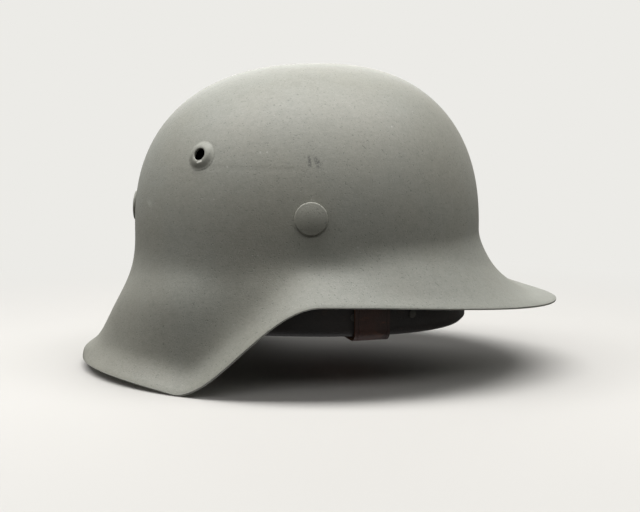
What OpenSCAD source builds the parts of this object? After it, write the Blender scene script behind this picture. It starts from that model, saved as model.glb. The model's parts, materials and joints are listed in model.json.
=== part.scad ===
// Pressed-steel field helmet with a flared raw rim, a riveted two-band leather liner
// and a leather chin strap. Millimetres, +X to the visor, +Y to the wearer's left, +Z up.

/* [Steel shell] */
// Reach of the dome's outer wall forward of its centre
dome_front = 97.5; // [94:0.5:101]
// Reach of the dome's outer wall behind its centre
dome_back = 112; // [108:0.5:116]
// Half of the dome's outer width
dome_half_width = 96; // [93:0.5:99]
// Height of the crown above the lowest rim
shell_height = 183; // [178:1:190]
// Height of the waist, where the dome's wall stands upright
waist_height = 84; // [81:0.5:86]
// Fullness of the dome's side profile, 2 is an ellipse
dome_fullness = 2.36; // [2.2:0.02:2.6]
// Fullness of the dome seen from above
plan_fullness = 2.15; // [2.05:0.05:2.25]
// Thickness of the steel sheet
steel = 1.2; // [0.9:0.1:1.4]

/* [Flared rim] */
// Reach of the visor's edge forward of the dome's centre
visor_reach = 146.5; // [142:0.5:152]
// Reach of the neck guard's edge behind the dome's centre
neck_reach = 146.5; // [142:0.5:152]
// Half of the width across the ear flares
skirt_half_width = 113; // [110:0.5:117]
// Height of the rim at the temples
temple_height = 52; // [49:0.5:55]
// Height of the rim at the middle of the visor
visor_height = 41; // [38:0.5:45]
// Height of the rim at the middle of the neck guard
neck_height = 5; // [2:0.5:8]
// Place of the ear step's middle, forward of the dome's centre
step_centre = -38.5; // [-42:0.5:-34]
// Length over which the rim steps down behind the temple
step_length = 80; // [73:1:86]
// Angle of the visor's edge from upright
visor_slope = 80; // [72:1:84]
// Angle of the temple's edge from upright
side_slope = 28; // [22:1:34]
// Angle of the ear flare's wall from upright
ear_slope = 14; // [10:1:20]
// Angle of the neck guard's wall from upright
neck_slope = 30; // [26:1:35]
// Length of the lip that rounds the visor's and the temples' edge
front_lip = 8; // [6:0.5:10]
// Length of the lip that turns out below the ears
ear_lip = 15; // [12:0.5:18]
// Length of the lip that turns out below the nape
nape_lip = 18; // [15:0.5:20]

/* [Vents] */
// Distance of each vent behind the dome's centre
vent_back = 64.5; // [58:0.5:70]
// Height of each vent
vent_height = 130; // [124:0.5:136]
// Radius of the vent's hole
vent_radius = 3.4; // [2.8:0.1:4]
// Radius of the raised boss stamped round the vent
boss_radius = 8.6; // [7.6:0.1:9.6]
// Height of the boss above the steel
boss_height = 1.6; // [1.2:0.1:2]

/* [Split rivets] */
// Height of the three rivets that carry the liner
rivet_height = 97; // [96:0.5:99]
// Distance of the side rivets behind the dome's centre
rivet_back = 4; // [0:0.5:8]
// Radius of a rivet's head
rivet_head_radius = 9; // [8:0.1:9.5]
// Height of a rivet's head
rivet_head_height = 2.3; // [1.8:0.1:2.8]
// Radius of a rivet's shank
rivet_shank_radius = 2.4; // [2:0.1:2.8]
// Reach of each spread leg from the rivet's axis
rivet_leg = 13; // [11:0.5:15]

/* [Liner bands] */
// Thickness of both steel bands
band_t = 1; // [0.8:0.1:1.2]
// Lower edge of the outer band
outer_band_bottom = 76; // [75:0.5:77]
// Height of the outer band
outer_band_h = 30; // [28:0.5:32]
// Space between the two bands, held by the spring leaves
spring_gap = 5.5; // [5.5:0.1:6.5]
// Lower edge of the inner band
inner_band_bottom = 35; // [34:0.5:37]
// Upper edge of the inner band
inner_band_top = 91; // [90.5:0.5:91.5]
// Thickness of a spring leaf
leaf_t = 0.7; // [0.5:0.1:0.9]
// Height of a spring leaf
leaf_h = 12; // [10:0.5:12.5]

/* [Leather and felt] */
// Thickness of the felt pad
felt_t = 2.5; // [2:0.1:3]
// Height of the felt pad
felt_h = 34; // [30:0.5:36]
// Thickness of the leather
leather_t = 1.3; // [1:0.1:1.6]
// Height of the leather's outer fold above the band's lower edge
fold_h = 13; // [11:0.5:14]
// Height at which the eight tongues part
tongue_start = 92; // [91.5:0.5:95]
// Height of the tongues' tips
tongue_top = 149; // [142:1:156]
// Share of the dome's plan that the opening between the tips keeps
crown_opening = 0.26; // [0.22:0.01:0.34]
// Number of brads that hold the leather's fold
brad_count = 16; // [8:8:24]

/* [Chin strap] */
// Distance of both bails forward of the dome's centre
bail_forward = 29; // [26:0.5:32]
// Radius of the bail's wire
bail_wire = 1.2; // [1:0.1:1.4]
// Width of the bail between the centres of its side wires
bail_w = 28; // [27:0.5:30]
// Height of the bail between the centres of its cross wires
bail_h = 13; // [12:0.5:14]
// Width of the strap
strap_w = 20; // [18:0.5:20.5]
// Thickness of the strap's leather
strap_t = 1.8; // [1.6:0.1:2]
// Reach of the long strap inward of its bend
long_reach = 95; // [80:1:100]
// Reach of the short strap inward of its bend
short_reach = 34; // [30:1:38]
// Number of holes in the long strap
hole_count = 6; // [3:1:7]
// Radius of the stud's two heads
stud_radius = 4.4; // [4:0.1:4.6]
// Radius of the buckle's wire
buckle_wire = 1.3; // [1.1:0.1:1.5]
// Width of the buckle between the centres of its side wires
buckle_w = 27; // [26:0.5:29]
// Length of the buckle between the centres of its cross wires
buckle_l = 16; // [14:0.5:18]

/* [Hidden] */

// Clearances: pieces laid face to face, a pin in its hole, and a bail or buckle in its eye
seat = 0.1;
pin_gap = 0.05;
eye_gap = 0.1;

// Fineness of the shell's mesh and of the curved bands
shell_columns = 72;
dome_rows = 11;
flare_rows = 7;
lip_rows = 4;
ring_sides = 96;
fine = 48;

// Azimuths of the flare's four profiles: visor, temple, ear and nape
profile_azimuths = [0, 90, 130, 180];

// At each profile: the waist's pull, the lip's pull as a share of the run, and the lip's chord and end angles
waist_pull = [9, 6, 16, 27];
lip_pull = [0.72, 0.5, 0.75, 0.95];
lip_chord = [83, 33, 40, 39];
lip_end = [50, 22, 30, -15];

// Easing of the rim's height: behind the temple, towards the visor and towards the nape
step_power = 0.9;
droop_reach = 242;
nape_power = 0.57;

// Fullness of the rim seen from above, behind and before the dome's centre
rim_fullness = [1.9, 1.85];

function sgnpow(v, p) = sign(v) * pow(abs(v), p);
function mix(a, b, u) = a + (b - a) * u;
function smooth(u) = let (v = min(1, max(0, u))) v * v * (3 - 2 * v);
function unit(v) = v / norm(v);

// Plan of the dome at azimuth t, drawn in by an inset
function plan(t, inset = 0) = [
    ((cos(t) > 0 ? dome_front : dome_back) - inset) * sgnpow(cos(t), 2 / plan_fullness),
    (dome_half_width - inset) * sgnpow(sin(t), 2 / plan_fullness)
];

// Direction in which the plan faces outward at azimuth t
function facing(t, inset = 0) = let (
    p = plan(t, inset),
    a = (cos(t) > 0 ? dome_front : dome_back) - inset,
    b = dome_half_width - inset
) atan2(sgnpow(p[1] / b, plan_fullness - 1) / b, sgnpow(p[0] / a, plan_fullness - 1) / a);

// Azimuth at which the plan lies at a distance x forward of the dome's centre
function azimuth_at(x, inset = 0) =
    acos(sgnpow(x / ((x > 0 ? dome_front : dome_back) - inset), plan_fullness / 2));

// Share of the waist's plan that the dome keeps at height z
function dome_share(z) = z <= waist_height ? 1 :
    pow(1 - pow((z - waist_height) / (shell_height - waist_height), dome_fullness), 1 / dome_fullness);

// Edge of the rim at azimuth t: level round the visor, a step down behind the temple, a raised nape
function rim(t) = let (
    q = 2 / rim_fullness[cos(t) > 0 ? 1 : 0],
    x = (cos(t) > 0 ? visor_reach : neck_reach) * sgnpow(cos(t), q),
    low = step_centre - step_length / 2,
    step = smooth(pow(min(1, max(0, (x - low) / step_length)), step_power)),
    droop = smooth(x / droop_reach) / smooth(visor_reach / droop_reach),
    nape = smooth(pow(max(0, (low - x) / (low + neck_reach)), nape_power))
) [
    x,
    skirt_half_width * sgnpow(sin(t), q),
    temple_height * step + (visor_height - temple_height) * droop + neck_height * nape
];

// Direction that points down and out, at an angle from upright
function slanted(out, angle) = [out[0] * sin(angle), out[1] * sin(angle), -cos(angle)];

// Value at azimuth t, eased between the flare's four profiles
function keyed(v, t) = let (
    turn = t > 180 ? 360 - t : t,
    i = turn < profile_azimuths[1] ? 0 : turn < profile_azimuths[2] ? 1 : 2,
    from = profile_azimuths[i]
) mix(v[i], v[i + 1], smooth((turn - from) / (profile_azimuths[i + 1] - from)));

function bezier(a, b, c, d, u) =
    pow(1 - u, 3) * a + 3 * pow(1 - u, 2) * u * b + 3 * (1 - u) * u * u * c + pow(u, 3) * d;

// Point of the outer face: row 0 is the crown, then the dome, then the flare down to the rim
function outer_point(row, t) = let (
    w = concat(plan(t), [waist_height]),
    r = rim(t),
    out = unit([r[0] - w[0], r[1] - w[1]]),
    slope = keyed([visor_slope, side_slope, ear_slope, neck_slope], t),
    lip = keyed([front_lip, front_lip, ear_lip, nape_lip], t),
    down = slanted(out, slope),
    b = r - lip * slanted(out, keyed(lip_chord, t)),
    pull = keyed(lip_pull, t) * ((b[0] - w[0]) * out[0] + (b[1] - w[1]) * out[1]) / sin(slope),
    a = 90 * row / dome_rows,
    q = 2 / dome_fullness
) row <= dome_rows
    ? concat(plan(t) * pow(sin(a), q), [mix(waist_height, shell_height, pow(max(0, cos(a)), q))])
    : row <= dome_rows + flare_rows
    ? bezier(w, w - [0, 0, keyed(waist_pull, t)], b - pull * down, b, (row - dome_rows) / flare_rows)
    : bezier(b, b + 0.25 * lip * down, r - 0.35 * lip * slanted(out, keyed(lip_end, t)), r,
        (row - dome_rows - flare_rows) / lip_rows);

shell_rows = dome_rows + flare_rows + lip_rows;
outer_grid = [for (i = [0:shell_rows]) [for (j = [0:shell_columns - 1])
    outer_point(i, 360 * j / shell_columns)]];

// Outward direction of a grid at row i and column j, from its neighbours
function grid_normal(g, i, j) = let (
    n = len(g[0]),
    down = g[min(i + 1, len(g) - 1)][j] - g[max(i - 1, 0)][j],
    along = g[i][(j + 1) % n] - g[i][(j + n - 1) % n]
) unit(cross(down, along));

inner_grid = [for (i = [0:shell_rows]) [for (j = [0:shell_columns - 1])
    i == 0 ? outer_grid[0][0] - [0, 0, steel] : outer_grid[i][j] - steel * grid_normal(outer_grid, i, j)]];

// The lowest edge stands on the ground and the overall length is centred on the origin
edge = concat(inner_grid[shell_rows], outer_grid[shell_rows]);
ground = min([for (p = edge) p[2]]);
middle = (min([for (p = edge) p[0]]) + max([for (p = edge) p[0]])) / 2;

module place() {
    translate([-middle, 0, -ground]) children();
}

// Places children on the plan, with local +X outward and local +Y along the wall
module on_plan(t, inset, z) {
    translate(concat(plan(t, inset), [z])) rotate([0, 0, facing(t, inset)]) children();
}

module both_sides() {
    children();
    mirror([0, 1, 0]) children();
}

// Cylinder along local X, from x0 to x1
module bar_x(r, x0, x1) {
    translate([x0, 0, 0]) rotate([0, 90, 0]) cylinder(r = r, h = x1 - x0, $fn = fine);
}

// Upright profile in local X and Z, given a width along local Y
module slab(width) {
    rotate([90, 0, 0]) linear_extrude(width, center = true) children();
}

// Rivets of the liner

rivet_side_y = dome_half_width * dome_share(rivet_height)
    * pow(1 - pow(rivet_back / dome_back, plan_fullness), 1 / plan_fullness);
rivet_rear_x = dome_back * dome_share(rivet_height);

// Places children at the three split rivets, with local +X outward from the steel's face
module at_split_rivets() {
    translate([-rivet_back, rivet_side_y, rivet_height]) rotate([0, 0, 90]) children();
    translate([-rivet_back, -rivet_side_y, rivet_height]) rotate([0, 0, -90]) children();
    translate([-rivet_rear_x, 0, rivet_height]) rotate([0, 0, 180]) children();
}

// Vent: its place on the dome, and the direction in which the dome faces there
vent_share = dome_share(vent_height);
vent_y = dome_half_width * vent_share
    * pow(1 - pow(vent_back / (dome_back * vent_share), plan_fullness), 1 / plan_fullness);
function dome_level(p) =
    pow(pow(abs(p[0]) / dome_back, plan_fullness) + pow(abs(p[1]) / dome_half_width, plan_fullness),
        dome_fullness / plan_fullness)
    + pow((p[2] - waist_height) / (shell_height - waist_height), dome_fullness);
vent_at = [-vent_back, vent_y, vent_height];
vent_normal = unit([for (k = [0:2]) let (d = [for (m = [0:2]) m == k ? 0.01 : 0])
    dome_level(vent_at + d) - dome_level(vent_at - d)]);

module at_vents() {
    both_sides() translate(vent_at)
        rotate([0, acos(vent_normal[2]), atan2(vent_normal[1], vent_normal[0])]) children();
}

// Steel shell

function shell_index(side, i, j) = side * (shell_rows * shell_columns + 1)
    + (i == 0 ? 0 : 1 + (i - 1) * shell_columns + j % shell_columns);

module shell_sheet() {
    points = concat(
        [outer_grid[0][0]], [for (i = [1:shell_rows]) each outer_grid[i]],
        [inner_grid[0][0]], [for (i = [1:shell_rows]) each inner_grid[i]]);
    faces = [for (j = [0:shell_columns - 1]) each concat(
        [[shell_index(0, 0, 0), shell_index(0, 1, j + 1), shell_index(0, 1, j)],
         [shell_index(1, 0, 0), shell_index(1, 1, j), shell_index(1, 1, j + 1)],
         [shell_index(0, shell_rows, j), shell_index(0, shell_rows, j + 1), shell_index(1, shell_rows, j)],
         [shell_index(1, shell_rows, j), shell_index(0, shell_rows, j + 1), shell_index(1, shell_rows, j + 1)]],
        [for (i = [1:shell_rows - 1]) each [
            [shell_index(0, i, j), shell_index(0, i, j + 1), shell_index(0, i + 1, j)],
            [shell_index(0, i + 1, j), shell_index(0, i, j + 1), shell_index(0, i + 1, j + 1)],
            [shell_index(1, i, j), shell_index(1, i + 1, j), shell_index(1, i, j + 1)],
            [shell_index(1, i + 1, j), shell_index(1, i + 1, j + 1), shell_index(1, i, j + 1)]]])];
    polyhedron(points, faces, convexity = 6);
}

// Ring stamped up round a vent: a steep inner lip and a long outer flank
module vent_boss() {
    lip = boss_radius - vent_radius;
    rotate_extrude($fn = fine) polygon([
        [vent_radius, -0.6 * steel],
        [vent_radius, 0.6 * boss_height],
        [vent_radius + 0.12 * lip, 0.9 * boss_height],
        [vent_radius + 0.3 * lip, boss_height],
        [vent_radius + 0.5 * lip, 0.85 * boss_height],
        [vent_radius + 0.75 * lip, 0.4 * boss_height],
        [boss_radius, -0.3 * steel],
        [boss_radius, -0.6 * steel]
    ]);
}

module shell() {
    color("dimgray") place() difference() {
        union() {
            shell_sheet();
            at_vents() vent_boss();
        }
        at_vents() translate([0, 0, -4 * steel]) cylinder(r = vent_radius, h = 8 * steel, $fn = fine);
        at_split_rivets() bar_x(rivet_shank_radius + pin_gap, -4 * steel, 2 * steel);
    }
}

// Bands: rings that follow the dome's plan inside the steel

outer_band_top = outer_band_bottom + outer_band_h;
outer_band_inset = dome_back * (1 - dome_share(outer_band_top)) + steel + 3 * seat;
outer_band_face = outer_band_inset + band_t;
inner_band_inset = outer_band_face + spring_gap;
inner_band_face = inner_band_inset + band_t;

function ring(inset) = [for (k = [0:ring_sides - 1]) plan(360 * k / ring_sides, inset)];

module band(inset, thickness, z0, z1) {
    translate([0, 0, z0]) linear_extrude(z1 - z0) difference() {
        polygon(ring(inset));
        polygon(ring(inset + thickness));
    }
}

// Small rivet along local X: outer head on x = 0, inner head behind the grip
module small_rivet(r, grip, head_r, head_h) {
    bar_x(r, -grip - head_h / 2, head_h / 2);
    bar_x(head_r, 0, head_h);
    bar_x(head_r, -grip - head_h, -grip);
}

// Spring leaves: bowed strips, riveted by the middle to the outer band and by the ends to the inner one

leaf_azimuths = [40, -40, 118, -118, 180];
leaf_half = 14;
leaf_bottom = outer_band_bottom + 1.5;
leaf_mid = leaf_bottom + leaf_h / 2;
leaf_rivet_r = 1.2;
leaf_end = 0.88;

function leaf_inset(w) = outer_band_face + seat
    + (spring_gap - leaf_t - 2 * seat) * smooth((abs(w) - 0.2) / 0.55);

module leaf(t) {
    steps = [for (w = [-1:0.125:1]) w];
    translate([0, 0, leaf_bottom]) linear_extrude(leaf_h) polygon(concat(
        [for (w = steps) plan(t + w * leaf_half, leaf_inset(w))],
        [for (k = [len(steps) - 1:-1:0]) plan(t + steps[k] * leaf_half, leaf_inset(steps[k]) + leaf_t)]));
}

// Places children at each leaf's middle, on the outer band's outer face
module at_leaf_middles() {
    for (t = leaf_azimuths) on_plan(t, outer_band_inset - seat / 2, leaf_mid) children();
}

// Places children at each leaf's ends, on the leaf's outer face
module at_leaf_ends() {
    for (t = leaf_azimuths, s = [-1, 1])
        on_plan(t + s * leaf_end * leaf_half, leaf_inset(1) - seat / 2, leaf_mid) children();
}

module leaf_rivet_holes() {
    at_leaf_middles() bar_x(leaf_rivet_r + pin_gap, -3 * band_t, 2 * band_t);
    at_leaf_ends() bar_x(leaf_rivet_r + pin_gap, -3 * band_t, 2 * band_t);
}

module spring_leaves() {
    color("silver") place() difference() {
        for (t = leaf_azimuths) leaf(t);
        leaf_rivet_holes();
    }
}

module leaf_rivets() {
    color("gray") place() {
        at_leaf_middles() small_rivet(leaf_rivet_r, band_t + leaf_t + 4 * seat, 2.4, 0.8);
        at_leaf_ends() small_rivet(leaf_rivet_r, leaf_t + band_t + 4 * seat, 2.4, 0.8);
    }
}

// Brads round the lower fold of the leather

brad_r = 0.9;
brad_height = inner_band_bottom + 0.55 * fold_h;
felt_inset = inner_band_face + 2 * seat;
felt_bottom = brad_height + 4;
leather_out = inner_band_inset - 4 * seat - leather_t / 2;
leather_in = felt_inset + felt_t + 1.5 * seat + leather_t / 2;
brad_seat = leather_out - (leather_t + seat) / 2;

module at_brads() {
    for (k = [0:brad_count - 1])
        on_plan(360 * (k + 0.5) / brad_count, brad_seat, brad_height) children();
}

module outer_band() {
    color("silver") place() difference() {
        band(outer_band_inset, band_t, outer_band_bottom, outer_band_top);
        leaf_rivet_holes();
        lug_rivet_holes();
        at_split_rivets() bar_x(rivet_shank_radius + pin_gap, -3 * outer_band_face, 0);
    }
}

module inner_band() {
    color("silver") place() difference() {
        band(inner_band_inset, band_t, inner_band_bottom, inner_band_top);
        leaf_rivet_holes();
        at_brads() bar_x(brad_r + pin_gap, -6 * band_t, 0);
    }
}

module felt_pad() {
    color("lightslategray") place() band(felt_inset, felt_t, felt_bottom, felt_bottom + felt_h);
}

// Split rivet: low domed head, shank and two spread legs, along local X
module split_rivet(drop) {
    edge_h = 0.45 * rivet_head_height;
    crown_r = (pow(rivet_head_radius - 1, 2) + pow(rivet_head_height - edge_h, 2))
        / (2 * (rivet_head_height - edge_h));
    rotate([0, 90, 0]) rotate_extrude($fn = fine) intersection() {
        union() {
            translate([0, seat / 2]) square([rivet_head_radius - 1, rivet_head_height]);
            translate([rivet_head_radius - 1, seat / 2]) square([1, edge_h - 1 + 0.1]);
            translate([rivet_head_radius - 1, seat / 2 + edge_h - 1]) intersection() {
                circle(r = 1, $fn = fine);
                square(1);
            }
        }
        translate([0, rivet_head_height + seat / 2 - crown_r]) difference() {
            circle(r = crown_r, $fn = 4 * fine);
            translate([-2 * crown_r, -crown_r]) square(2 * crown_r);
        }
    }
    bar_x(rivet_shank_radius, -drop - 1, seat);
    for (s = [-1, 1]) translate([-drop - 0.5, 0, 0]) rotate([0, 0, s * (90 + 6)])
        translate([0, -0.5, -2]) cube([rivet_leg, 1, 4]);
}

rivet_drop = steel + 3 * seat + (1 - dome_share(outer_band_top)) * dome_back + band_t;

module split_rivets() {
    color("dimgray") place() at_split_rivets() split_rivet(rivet_drop);
}

// Leather liner: folded round the inner band's lower edge, then parted into eight tongues

tongues = 8;
tongue_cells = 5;
leather_columns = tongues * (tongue_cells + 1);
slot_half = 0.9;
fold_mid = (leather_in - leather_out) / 2;
fold_z = inner_band_bottom - 3 * seat;
tongue_rows = 5;

// Leather's path from the outer fold's edge, round the band and up to the tongues: inset and height
leather_path = concat(
    [[leather_out, inner_band_bottom + fold_h], [leather_out, fold_z]],
    [for (a = [45:45:135]) [leather_out + fold_mid * (1 - cos(a)), fold_z - fold_mid * sin(a)]],
    [[leather_in, fold_z], [leather_in, mix(fold_z, tongue_start, 0.5)], [leather_in, tongue_start]]);
slot_row = len(leather_path) - 1;
leather_rows = slot_row + tongue_rows;

// Azimuth of a column: the tongues fill the ring but for a slot, and draw in to round tips
function leather_azimuth(i, j) = let (
    k = floor(j / (tongue_cells + 1)),
    u = 2 * (j % (tongue_cells + 1)) / tongue_cells - 1,
    past = max(0, i - (leather_rows - 2)),
    half = 180 / tongues - slot_half
) (k + 0.5) * 360 / tongues + u * half * sqrt(1 - pow(0.39 * past, 2));

tongue_end = asin(pow(crown_opening, dome_fullness / 2));

function leather_point(i, j) = let (t = leather_azimuth(i, j), r = i - slot_row,
    a = mix(90, tongue_end, r / tongue_rows), q = 2 / dome_fullness)
    i <= slot_row ? concat(plan(t, leather_path[i][0]), [leather_path[i][1]])
    : concat(plan(t, leather_in) * pow(sin(a), q), [mix(tongue_start, tongue_top, pow(cos(a), q))]);

leather_grid = [for (i = [0:leather_rows]) [for (j = [0:leather_columns - 1]) leather_point(i, j)]];

function cell(i, j) = i >= 0 && i < leather_rows
    && (i < slot_row || j % (tongue_cells + 1) != tongue_cells);
function leather_index(side, i, j) =
    side * (leather_rows + 1) * leather_columns + i * leather_columns + (j + leather_columns) % leather_columns;

// Two triangles that close the sheet's edge from grid point a to grid point b
function edge_wall(a, b) = [
    [leather_index(0, a[0], a[1]), leather_index(0, b[0], b[1]), leather_index(1, a[0], a[1])],
    [leather_index(1, a[0], a[1]), leather_index(0, b[0], b[1]), leather_index(1, b[0], b[1])]];

module leather_liner() {
    half = leather_t / 2;
    points = [for (side = [-1, 1], i = [0:leather_rows], j = [0:leather_columns - 1])
        leather_grid[i][j] + side * half * grid_normal(leather_grid, i, j)];
    faces = [for (i = [0:leather_rows - 1], j = [0:leather_columns - 1]) if (cell(i, j)) each concat(
        [[leather_index(0, i, j), leather_index(0, i + 1, j), leather_index(0, i, j + 1)],
         [leather_index(0, i + 1, j), leather_index(0, i + 1, j + 1), leather_index(0, i, j + 1)],
         [leather_index(1, i, j), leather_index(1, i, j + 1), leather_index(1, i + 1, j)],
         [leather_index(1, i + 1, j), leather_index(1, i, j + 1), leather_index(1, i + 1, j + 1)]],
        cell(i - 1, j) ? [] : edge_wall([i, j], [i, j + 1]),
        cell(i + 1, j) ? [] : edge_wall([i + 1, j + 1], [i + 1, j]),
        cell(i, j - 1 + leather_columns) ? [] : edge_wall([i + 1, j], [i, j]),
        cell(i, j + 1) ? [] : edge_wall([i, j + 1], [i + 1, j + 1]))];
    color("saddlebrown") place() polyhedron(points, faces, convexity = 8);
}

module liner_brads() {
    color("gray") place() at_brads() small_rivet(brad_r, inner_band_face - brad_seat + 3 * seat, 2.2, 0.6);
}

// Chin strap fittings, drawn on the left: local +X outward, +Y along the wall, origin on the bail's top wire

bail_drop = 2.5;
lug_t = 0.8;
lug_w = bail_w - 10;
lug_curl = bail_wire + 0.06;
lug_bow = lug_w * lug_w / 8 / (dome_half_width - outer_band_face);
bail_inset = outer_band_face + seat + lug_bow + lug_t / 2 + lug_curl;
bail_azimuth = azimuth_at(bail_forward, bail_inset);
bail_height = outer_band_bottom - bail_drop;
lug_face = bail_inset - outer_band_face - seat - lug_bow;
lug_top = 15.5;
lug_rivet_z = 9;
lug_rivet_y = 5;
lug_rivet_r = 1;

module at_bail() {
    on_plan(bail_azimuth, bail_inset, bail_height) children();
}

// Places children on the outer band's outer face at the lug's two rivets
module at_lug_rivets() {
    at_bail() for (s = [-1, 1])
        translate([bail_inset - outer_band_inset + seat / 2, s * lug_rivet_y, lug_rivet_z]) children();
}

module lug_rivet_holes() {
    both_sides() at_lug_rivets() bar_x(lug_rivet_r + pin_gap, -4 * band_t, 2 * band_t);
}

module bail_lug() {
    difference() {
        slab(lug_w) difference() {
            union() {
                circle(r = lug_curl + lug_t, $fn = fine);
                translate([lug_face - lug_t, 0]) square([lug_t, lug_top]);
            }
            circle(r = lug_curl, $fn = fine);
        }
        for (s = [-1, 1]) translate([0, s * lug_rivet_y, lug_rivet_z])
            bar_x(lug_rivet_r + pin_gap, -2, bail_inset);
    }
}

module bail_lug_left() {
    color("silver") place() at_bail() bail_lug();
}

module bail_lug_right() {
    color("silver") place() mirror([0, 1, 0]) at_bail() bail_lug();
}

module bail_lug_rivets() {
    grip = bail_inset - outer_band_inset - lug_face + lug_t + seat;
    color("gray") place() both_sides() at_lug_rivets() small_rivet(lug_rivet_r, grip, 2, 0.7);
}

// Rounded wire loop in local Y and Z: its top wire runs along local Y through the origin
module wire_loop(width, height, wire, corner) {
    for (z = [0, -height]) translate([0, 0, z]) rotate([90, 0, 0])
        cylinder(r = wire, h = width - 2 * corner, center = true, $fn = fine);
    for (s = [-1, 1]) translate([0, s * width / 2, corner - height])
        cylinder(r = wire, h = height - 2 * corner, $fn = fine);
    for (q = [[1, -corner, 0], [-1, -corner, 90], [-1, corner - height, 180], [1, corner - height, 270]])
        translate([0, q[0] * (width / 2 - corner), q[1]]) rotate([90, 0, 90]) rotate([0, 0, q[2]])
            rotate_extrude(angle = 90, $fn = fine) translate([corner, 0]) circle(r = wire, $fn = fine);
}

module bail_left() {
    color("silver") place() at_bail() wire_loop(bail_w, bail_h, bail_wire, 3);
}

module bail_right() {
    color("silver") place() mirror([0, 1, 0]) at_bail() wire_loop(bail_w, bail_h, bail_wire, 3);
}

// Strap: an eye round the bail's lower wire, a doubled stretch held by a stud, a bend and a flat reach

eye_r = bail_wire + eye_gap;
double_end = -bail_h - 11;
bend_r = 5;
bend_z = -bail_h - 25;
reach_z = bend_z - bend_r - strap_t;
stud_z = -bail_h - 7;
stud_shank = 1.4;

module strap_root() {
    difference() {
        slab(strap_w) {
            translate([0, -bail_h]) difference() {
                union() {
                    circle(r = eye_r + strap_t, $fn = fine);
                    translate([-strap_t, double_end + bail_h]) square([2 * strap_t, -double_end - bail_h]);
                }
                circle(r = eye_r, $fn = fine);
            }
            translate([0, bend_z]) square([strap_t, double_end - bend_z + 1]);
            translate([-bend_r, bend_z]) difference() {
                intersection() {
                    circle(r = bend_r + strap_t, $fn = fine);
                    translate([0, -bend_r - strap_t]) square(bend_r + strap_t);
                }
                circle(r = bend_r, $fn = fine);
            }
        }
        translate([0, 0, stud_z]) bar_x(stud_shank + pin_gap, -5, 5);
    }
}

// Long strap: a row of holes and a pointed tip
module long_strap() {
    strap_root();
    translate([-bend_r, 0, reach_z]) linear_extrude(strap_t) difference() {
        polygon([[0, -strap_w / 2], [0, strap_w / 2], [-long_reach + 12, strap_w / 2],
            [-long_reach + 3, strap_w / 4], [-long_reach, 0], [-long_reach + 3, -strap_w / 4],
            [-long_reach + 12, -strap_w / 2]]);
        for (k = [0:hole_count - 1]) translate([-long_reach + 16 + 10 * k, 0]) circle(r = 1.8, $fn = fine);
    }
}

buckle_x = -bend_r - short_reach;
buckle_z = reach_z + strap_t / 2;
buckle_eye = buckle_wire + eye_gap;
prong_r = 1;
prong_slot = 3.6;

// Short strap: ends in an eye that holds the buckle, slotted for the prong
module short_strap() {
    strap_root();
    difference() {
        union() {
            translate([buckle_x, -strap_w / 2, reach_z]) cube([short_reach, strap_w, strap_t]);
            translate([buckle_x, 0, buckle_z]) slab(strap_w) circle(r = buckle_eye + strap_t, $fn = fine);
        }
        translate([buckle_x, 0, buckle_z]) {
            slab(2 * strap_w) circle(r = buckle_eye, $fn = fine);
            translate([-8, -prong_slot / 2, -8]) cube([8 + buckle_eye + strap_t + 1, prong_slot, 16]);
        }
    }
}

module strap_stud() {
    translate([strap_t + seat / 2, 0, stud_z]) small_rivet(stud_shank, 2 * strap_t + seat, stud_radius, 1);
}

module strap_right() {
    color("#5a3a22") place() mirror([0, 1, 0]) at_bail() long_strap();
}

module strap_right_stud() {
    color("gray") place() mirror([0, 1, 0]) at_bail() strap_stud();
}

module strap_left() {
    color("#5a3a22") place() at_bail() short_strap();
}

module strap_left_stud() {
    color("gray") place() at_bail() strap_stud();
}

module buckle_frame() {
    color("dimgray") place() at_bail() translate([buckle_x, 0, buckle_z]) rotate([0, 90, 0])
        wire_loop(buckle_w, buckle_l, buckle_wire, 3);
}

// Prong: turns on the buckle's bar and lies on the opposite wire
module buckle_prong() {
    rest = buckle_wire + prong_r + 0.5 * seat;
    color("dimgray") place() at_bail() translate([buckle_x, 0, buckle_z]) difference() {
        union() {
            slab(2 * prong_r) circle(r = rest + prong_r, $fn = fine);
            translate([0, 0, rest]) bar_x(prong_r, -buckle_l - 2, 0);
        }
        slab(4 * prong_r) circle(r = buckle_wire + 0.06, $fn = fine);
    }
}

shell();
split_rivets();
outer_band();
spring_leaves();
leaf_rivets();
inner_band();
felt_pad();
leather_liner();
liner_brads();
bail_lug_right();
bail_lug_left();
bail_lug_rivets();
bail_right();
bail_left();
strap_right();
strap_right_stud();
strap_left();
strap_left_stud();
buckle_frame();
buckle_prong();
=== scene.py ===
"""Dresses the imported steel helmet: painted shell, split rivets, leather liner, felt and strap, in metres."""

from __future__ import annotations

import json
import logging
import math
from dataclasses import dataclass
from enum import Enum
from functools import partialmethod
from typing import Callable, Sequence

import bpy
from mathutils import Matrix, Vector

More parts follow.
